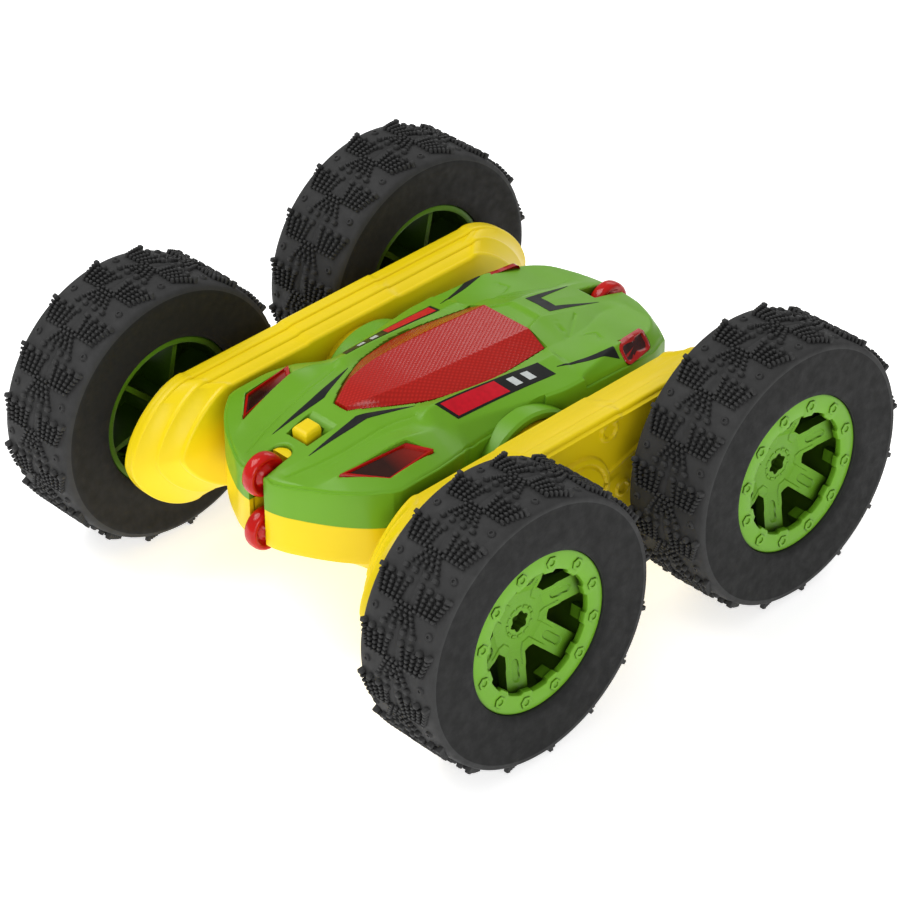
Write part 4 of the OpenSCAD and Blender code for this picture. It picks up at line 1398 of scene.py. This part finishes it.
def carcass():
    """Smooth body of a tyre with its side walls and beads."""
    half = SIDE_WALL + TREAD_CROWN
    outer = [(8.0, 17.9), (9.7, 18.1), (10.1, 18.7), (10.25, 19.4)]
    outer += [(min(x, TYRE_HALF), r) for x, r in half]
    groove = [(0.15, 30.12), (-0.15, 30.12)]
    inner = [(-x, r) for x, r in reversed(half)] + [(-10.25, 19.2), (-10.0, 18.1), (-9.6, 17.5)]
    inside = [
        (-8.4, 17.45), (-8.2, 20), (-8, 24.6), (-4, 26.6), (4, 26.6), (5.6, 24.8), (5.7, 17.45), (7.8, 17.45)
    ]
    profile = outer + groove + inner + inside
    return turned(resample_profile(profile), 288)


def resample_profile(profile):
    """Adds points along the long straights of a closed profile."""
    result = []
    pts = np.asarray(profile, float)
    for a, b in zip(pts, np.roll(pts, -1, axis=0)):
        count = max(1, int(np.linalg.norm(b - a) / 0.9))
        for k in range(count):
            result.append(a + (b - a) * k / count)
    return result


def crown_radius(offset):
    xs = [p[0] for p in reversed(TREAD_CROWN)]
    rs = [p[1] for p in reversed(TREAD_CROWN)]
    return np.interp(abs(offset), xs, rs)


def knob(offset, turn, width, length, tip_r):
    """One square tread block with softened corners and a slightly narrower top."""
    foot_r = crown_radius(offset) - 0.2
    rings = []
    for r, grow in ((foot_r, 1.04), (tip_r - 0.12, 0.98), (tip_r, 0.78)):
        w, h = width / 2 * grow, length / 2 * grow / tip_r
        c = 0.25
        corners = [(-w, -h * (1 - c)), (-w * (1 - c), -h), (w * (1 - c), -h), (w, -h * (1 - c)),
                   (w, h * (1 - c)), (w * (1 - c), h), (-w * (1 - c), h), (-w, h * (1 - c))]
        rings.append([(offset + a, r * math.cos(turn + t), r * math.sin(turn + t)) for a, t in corners])
    return rings_mesh(rings, cap_start=True)


def pip(offset, turn):
    """Round dimpled pip near the shoulder."""
    base = crown_radius(offset)
    rings = []
    for height, r in ((-0.2, 0.85), (0.35, 0.75), (0.5, 0.6), (0.5, 0.36), (0.3, 0.3)):
        ring = []
        for a in np.linspace(0, 2 * math.pi, 14, endpoint=False):
            t = turn + r * math.sin(a) / base
            far = base + height
            ring.append((offset + r * math.cos(a), far * math.cos(t), far * math.sin(t)))
        rings.append(ring)
    return rings_mesh(rings)


# Knobs: width across, length round and tip radius; the rows of small ones are degrees apart
LARGE_KNOB = (1.15, 1.0, 31.17)
SMALL_KNOB = (0.76, 0.62, 31.0)
ROW_PITCH = 1.8
PITCHES = 16


def tread_pitch(start):
    """Knobs of one pitch: a fan beside each shoulder and a reversed one between."""
    parts = []
    degree = math.radians(1)
    for sign in (-1, 1):
        for offset in (1.6, 4.1, 6.7, 9.2):
            parts.append(knob(sign * offset, start, *LARGE_KNOB))
        for row in range(5):
            share = row / 4
            near, far = 2.0 + 0.6 * share, 9.0 - 1.4 * share
            for k in range(5):
                offset = near + (far - near) * k / 4
                parts.append(knob(sign * offset, start - degree * (2.1 + ROW_PITCH * row), *SMALL_KNOB))
        parts.append(pip(sign * 7.6, start + degree * 7.4))
    for row in range(5):
        share = row / 4
        half = 1.3 + 2.2 * share
        count = 3 + (row + 1) // 2
        for k in range(count):
            offset = -half + 2 * half * k / (count - 1)
            parts.append(knob(offset, start - degree * (8.6 + ROW_PITCH * row), *SMALL_KNOB))
    for offset in (-4.1, -1.5, 1.5, 4.1):
        parts.append(knob(offset, start - degree * 18.4, *LARGE_KNOB))
    return parts


def make_tyre_shape():
    parts = [carcass()]
    for k in range(PITCHES):
        parts += tread_pitch(2 * math.pi * k / PITCHES + math.radians(18.4))
    return joined(parts)


def as_wheel(shape, way, sign):
    """Moves a wheel shape to its axle; treads point the same way on both sides."""
    points, faces = shape
    turned_round = np.asarray(points) * [1, -1, 1], [tuple(reversed(f)) for f in faces]
    return on_side(moved(turned_round, (0, way * HALF_BASE, 0)), sign)


def paint_side_wall_shade(obj, way):
    """Painted shade: darker rubber on the smooth side walls of a tyre, standing in for walls turned from the
    light.
    """
    for face in obj.data.polygons:
        x, y, z = face.center / MM
        far = math.hypot(y - way * HALF_BASE, z - AXLE_Z)
        if abs(abs(x) - TYRE_X) > 9.6 and far < 28.6:
            face.material_index = 1


def make_wheels():
    rim = make_rim_shape()
    axle = turned([(31.1, 0.05), (31.1, 1.3), (31.3, 1.5), (57.4, 1.5), (57.7, 1.2), (57.7, 0.05)], 64)
    tyre = moved(make_tyre_shape(), (TYRE_X, 0, 0))
    for side, sign in SIDES.items():
        for end, way in ENDS.items():
            body = f"{side}_{end}_wheel"
            piece(
                f"{side}_{end}_hub_rim", as_wheel(rim, way, sign),
                body, mat["rim"], [f"{side}_{end}_rim"], sharp=35)
            piece(
                f"{side}_{end}_axle_rod", as_wheel(axle, way, sign),
                body, mat["steel"], [f"{side}_{end}_axle"])
            obj = piece(
                f"{side}_{end}_tread", as_wheel(tyre, way, sign),
                body, [mat["tyre"], mat["tyre_side_shade"]], [f"{side}_{end}_tyre"], sharp=45)
            paint_side_wall_shade(obj, way)


# ---------- carried-over CAD nodes ----------

def dress_cad_nodes():
    finishes = {
        "circuit_board": "board", "light_module": "lamp", "battery_pack": "battery",
        "switch_housing": "motor", "charge_socket": "black", "shell_screws": "steel", "roller_pins": "steel"
    }
    kinds = {
        "motor": "motor", "drive_pinion": "brass",
        "step_gear": "nylon", "idler_gear": "nylon", "wheel_gear": "nylon"
    }
    for side in SIDES:
        for kind in ("motor", "drive_pinion"):
            finishes[f"{side}_{kind}"] = kinds[kind]
        for end in ENDS:
            for kind in ("step_gear", "idler_gear", "wheel_gear"):
                finishes[f"{side}_{end}_{kind}"] = kinds[kind]
    for node, finish in finishes.items():
        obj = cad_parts[node]
        obj.data.materials.clear()
        obj.data.materials.append(mat[finish])


# ---------- camera, floor and light ----------

# Azimuth, elevation and roll in degrees; target and distance in metres; lens in millimetres
CAMERA_ANGLES = (48.386, 34.593, -2.743)
CAMERA_TARGET = (0, -0.000104, 0.024975)
CAMERA_DISTANCE = 0.77385
CAMERA_LENS = 144.68


def make_camera():
    azimuth, elevation, roll = (math.radians(a) for a in CAMERA_ANGLES)
    target = Vector(CAMERA_TARGET)
    back = Vector((
        math.sin(azimuth) * math.cos(elevation),
        -math.cos(azimuth) * math.cos(elevation),
        math.sin(elevation),
    ))
    right = Vector((math.cos(azimuth), math.sin(azimuth), 0))
    up = back.cross(right)
    across = right * math.cos(roll) + up * math.sin(roll)
    upward = up * math.cos(roll) - right * math.sin(roll)
    data = bpy.data.cameras.new("camera")
    data.sensor_width = 36
    data.lens = CAMERA_LENS
    data.clip_start = 0.01
    camera = bpy.data.objects.new("camera", data)
    turn = Matrix((across, upward, back)).transposed().to_4x4()
    camera.matrix_world = Matrix.Translation(target + back * CAMERA_DISTANCE) @ turn
    bpy.context.scene.collection.objects.link(camera)
    bpy.context.scene.camera = camera


def make_floor():
    size = 3.0
    mesh = bpy.data.meshes.new("floor")
    bm = bmesh.new()
    bmesh.ops.create_grid(bm, x_segments=8, y_segments=8, size=size)
    bm.to_mesh(mesh)
    bm.free()
    floor = bpy.data.objects.new("floor", mesh)
    floor.location.z = -0.0002
    bpy.context.scene.collection.objects.link(floor)
    material, tree, shader = new_material("pale_floor")
    tone = ranged(tree, noise(tree, 3, 2), 0, 1)
    tree.links.new(blended(tree, tone, (0.96, 0.96, 0.96), (0.98, 0.98, 0.98)), shader.inputs["Base Color"])
    shader.inputs["Roughness"].default_value = 0.9
    shader.inputs["Emission Color"].default_value = (1, 1, 1, 1)
    shader.inputs["Emission Strength"].default_value = 0.6
    mesh.materials.append(material)


def area_light(name, place, aim, size, power):
    data = bpy.data.lights.new(name, "AREA")
    data.shape = "RECTANGLE"
    data.size, data.size_y = size
    data.energy = power
    light = bpy.data.objects.new(name, data)
    place, aim = Vector(place), Vector(aim)
    light.location = place
    light.rotation_euler = (place - aim).to_track_quat("Z", "Y").to_euler()
    bpy.context.scene.collection.objects.link(light)


def make_lights():
    world = bpy.data.worlds.new("studio")
    world.use_nodes = True
    world.node_tree.nodes["Background"].inputs["Color"].default_value = (1, 1, 1, 1)
    world.node_tree.nodes["Background"].inputs["Strength"].default_value = 0.42
    bpy.context.scene.world = world
    middle = (0, 0, 0.03)
    area_light("key", (-0.35, -0.25, 0.75), middle, (0.5, 0.5), 4.0)
    area_light("fill", (0.7, -0.5, 0.4), middle, (0.5, 0.5), 3.0)
    area_light("back", (-0.3, 0.7, 0.5), middle, (0.6, 0.3), 1.0)
    bpy.context.scene.view_settings.view_transform = "Standard"


make_camera()
make_floor()
make_lights()
dress_cad_nodes()
make_upper_shell()
make_lower_shell()
make_canopy()
make_lenses()
make_stickers()
make_switch_knob()
make_rollers()
make_arms()
make_wheels()
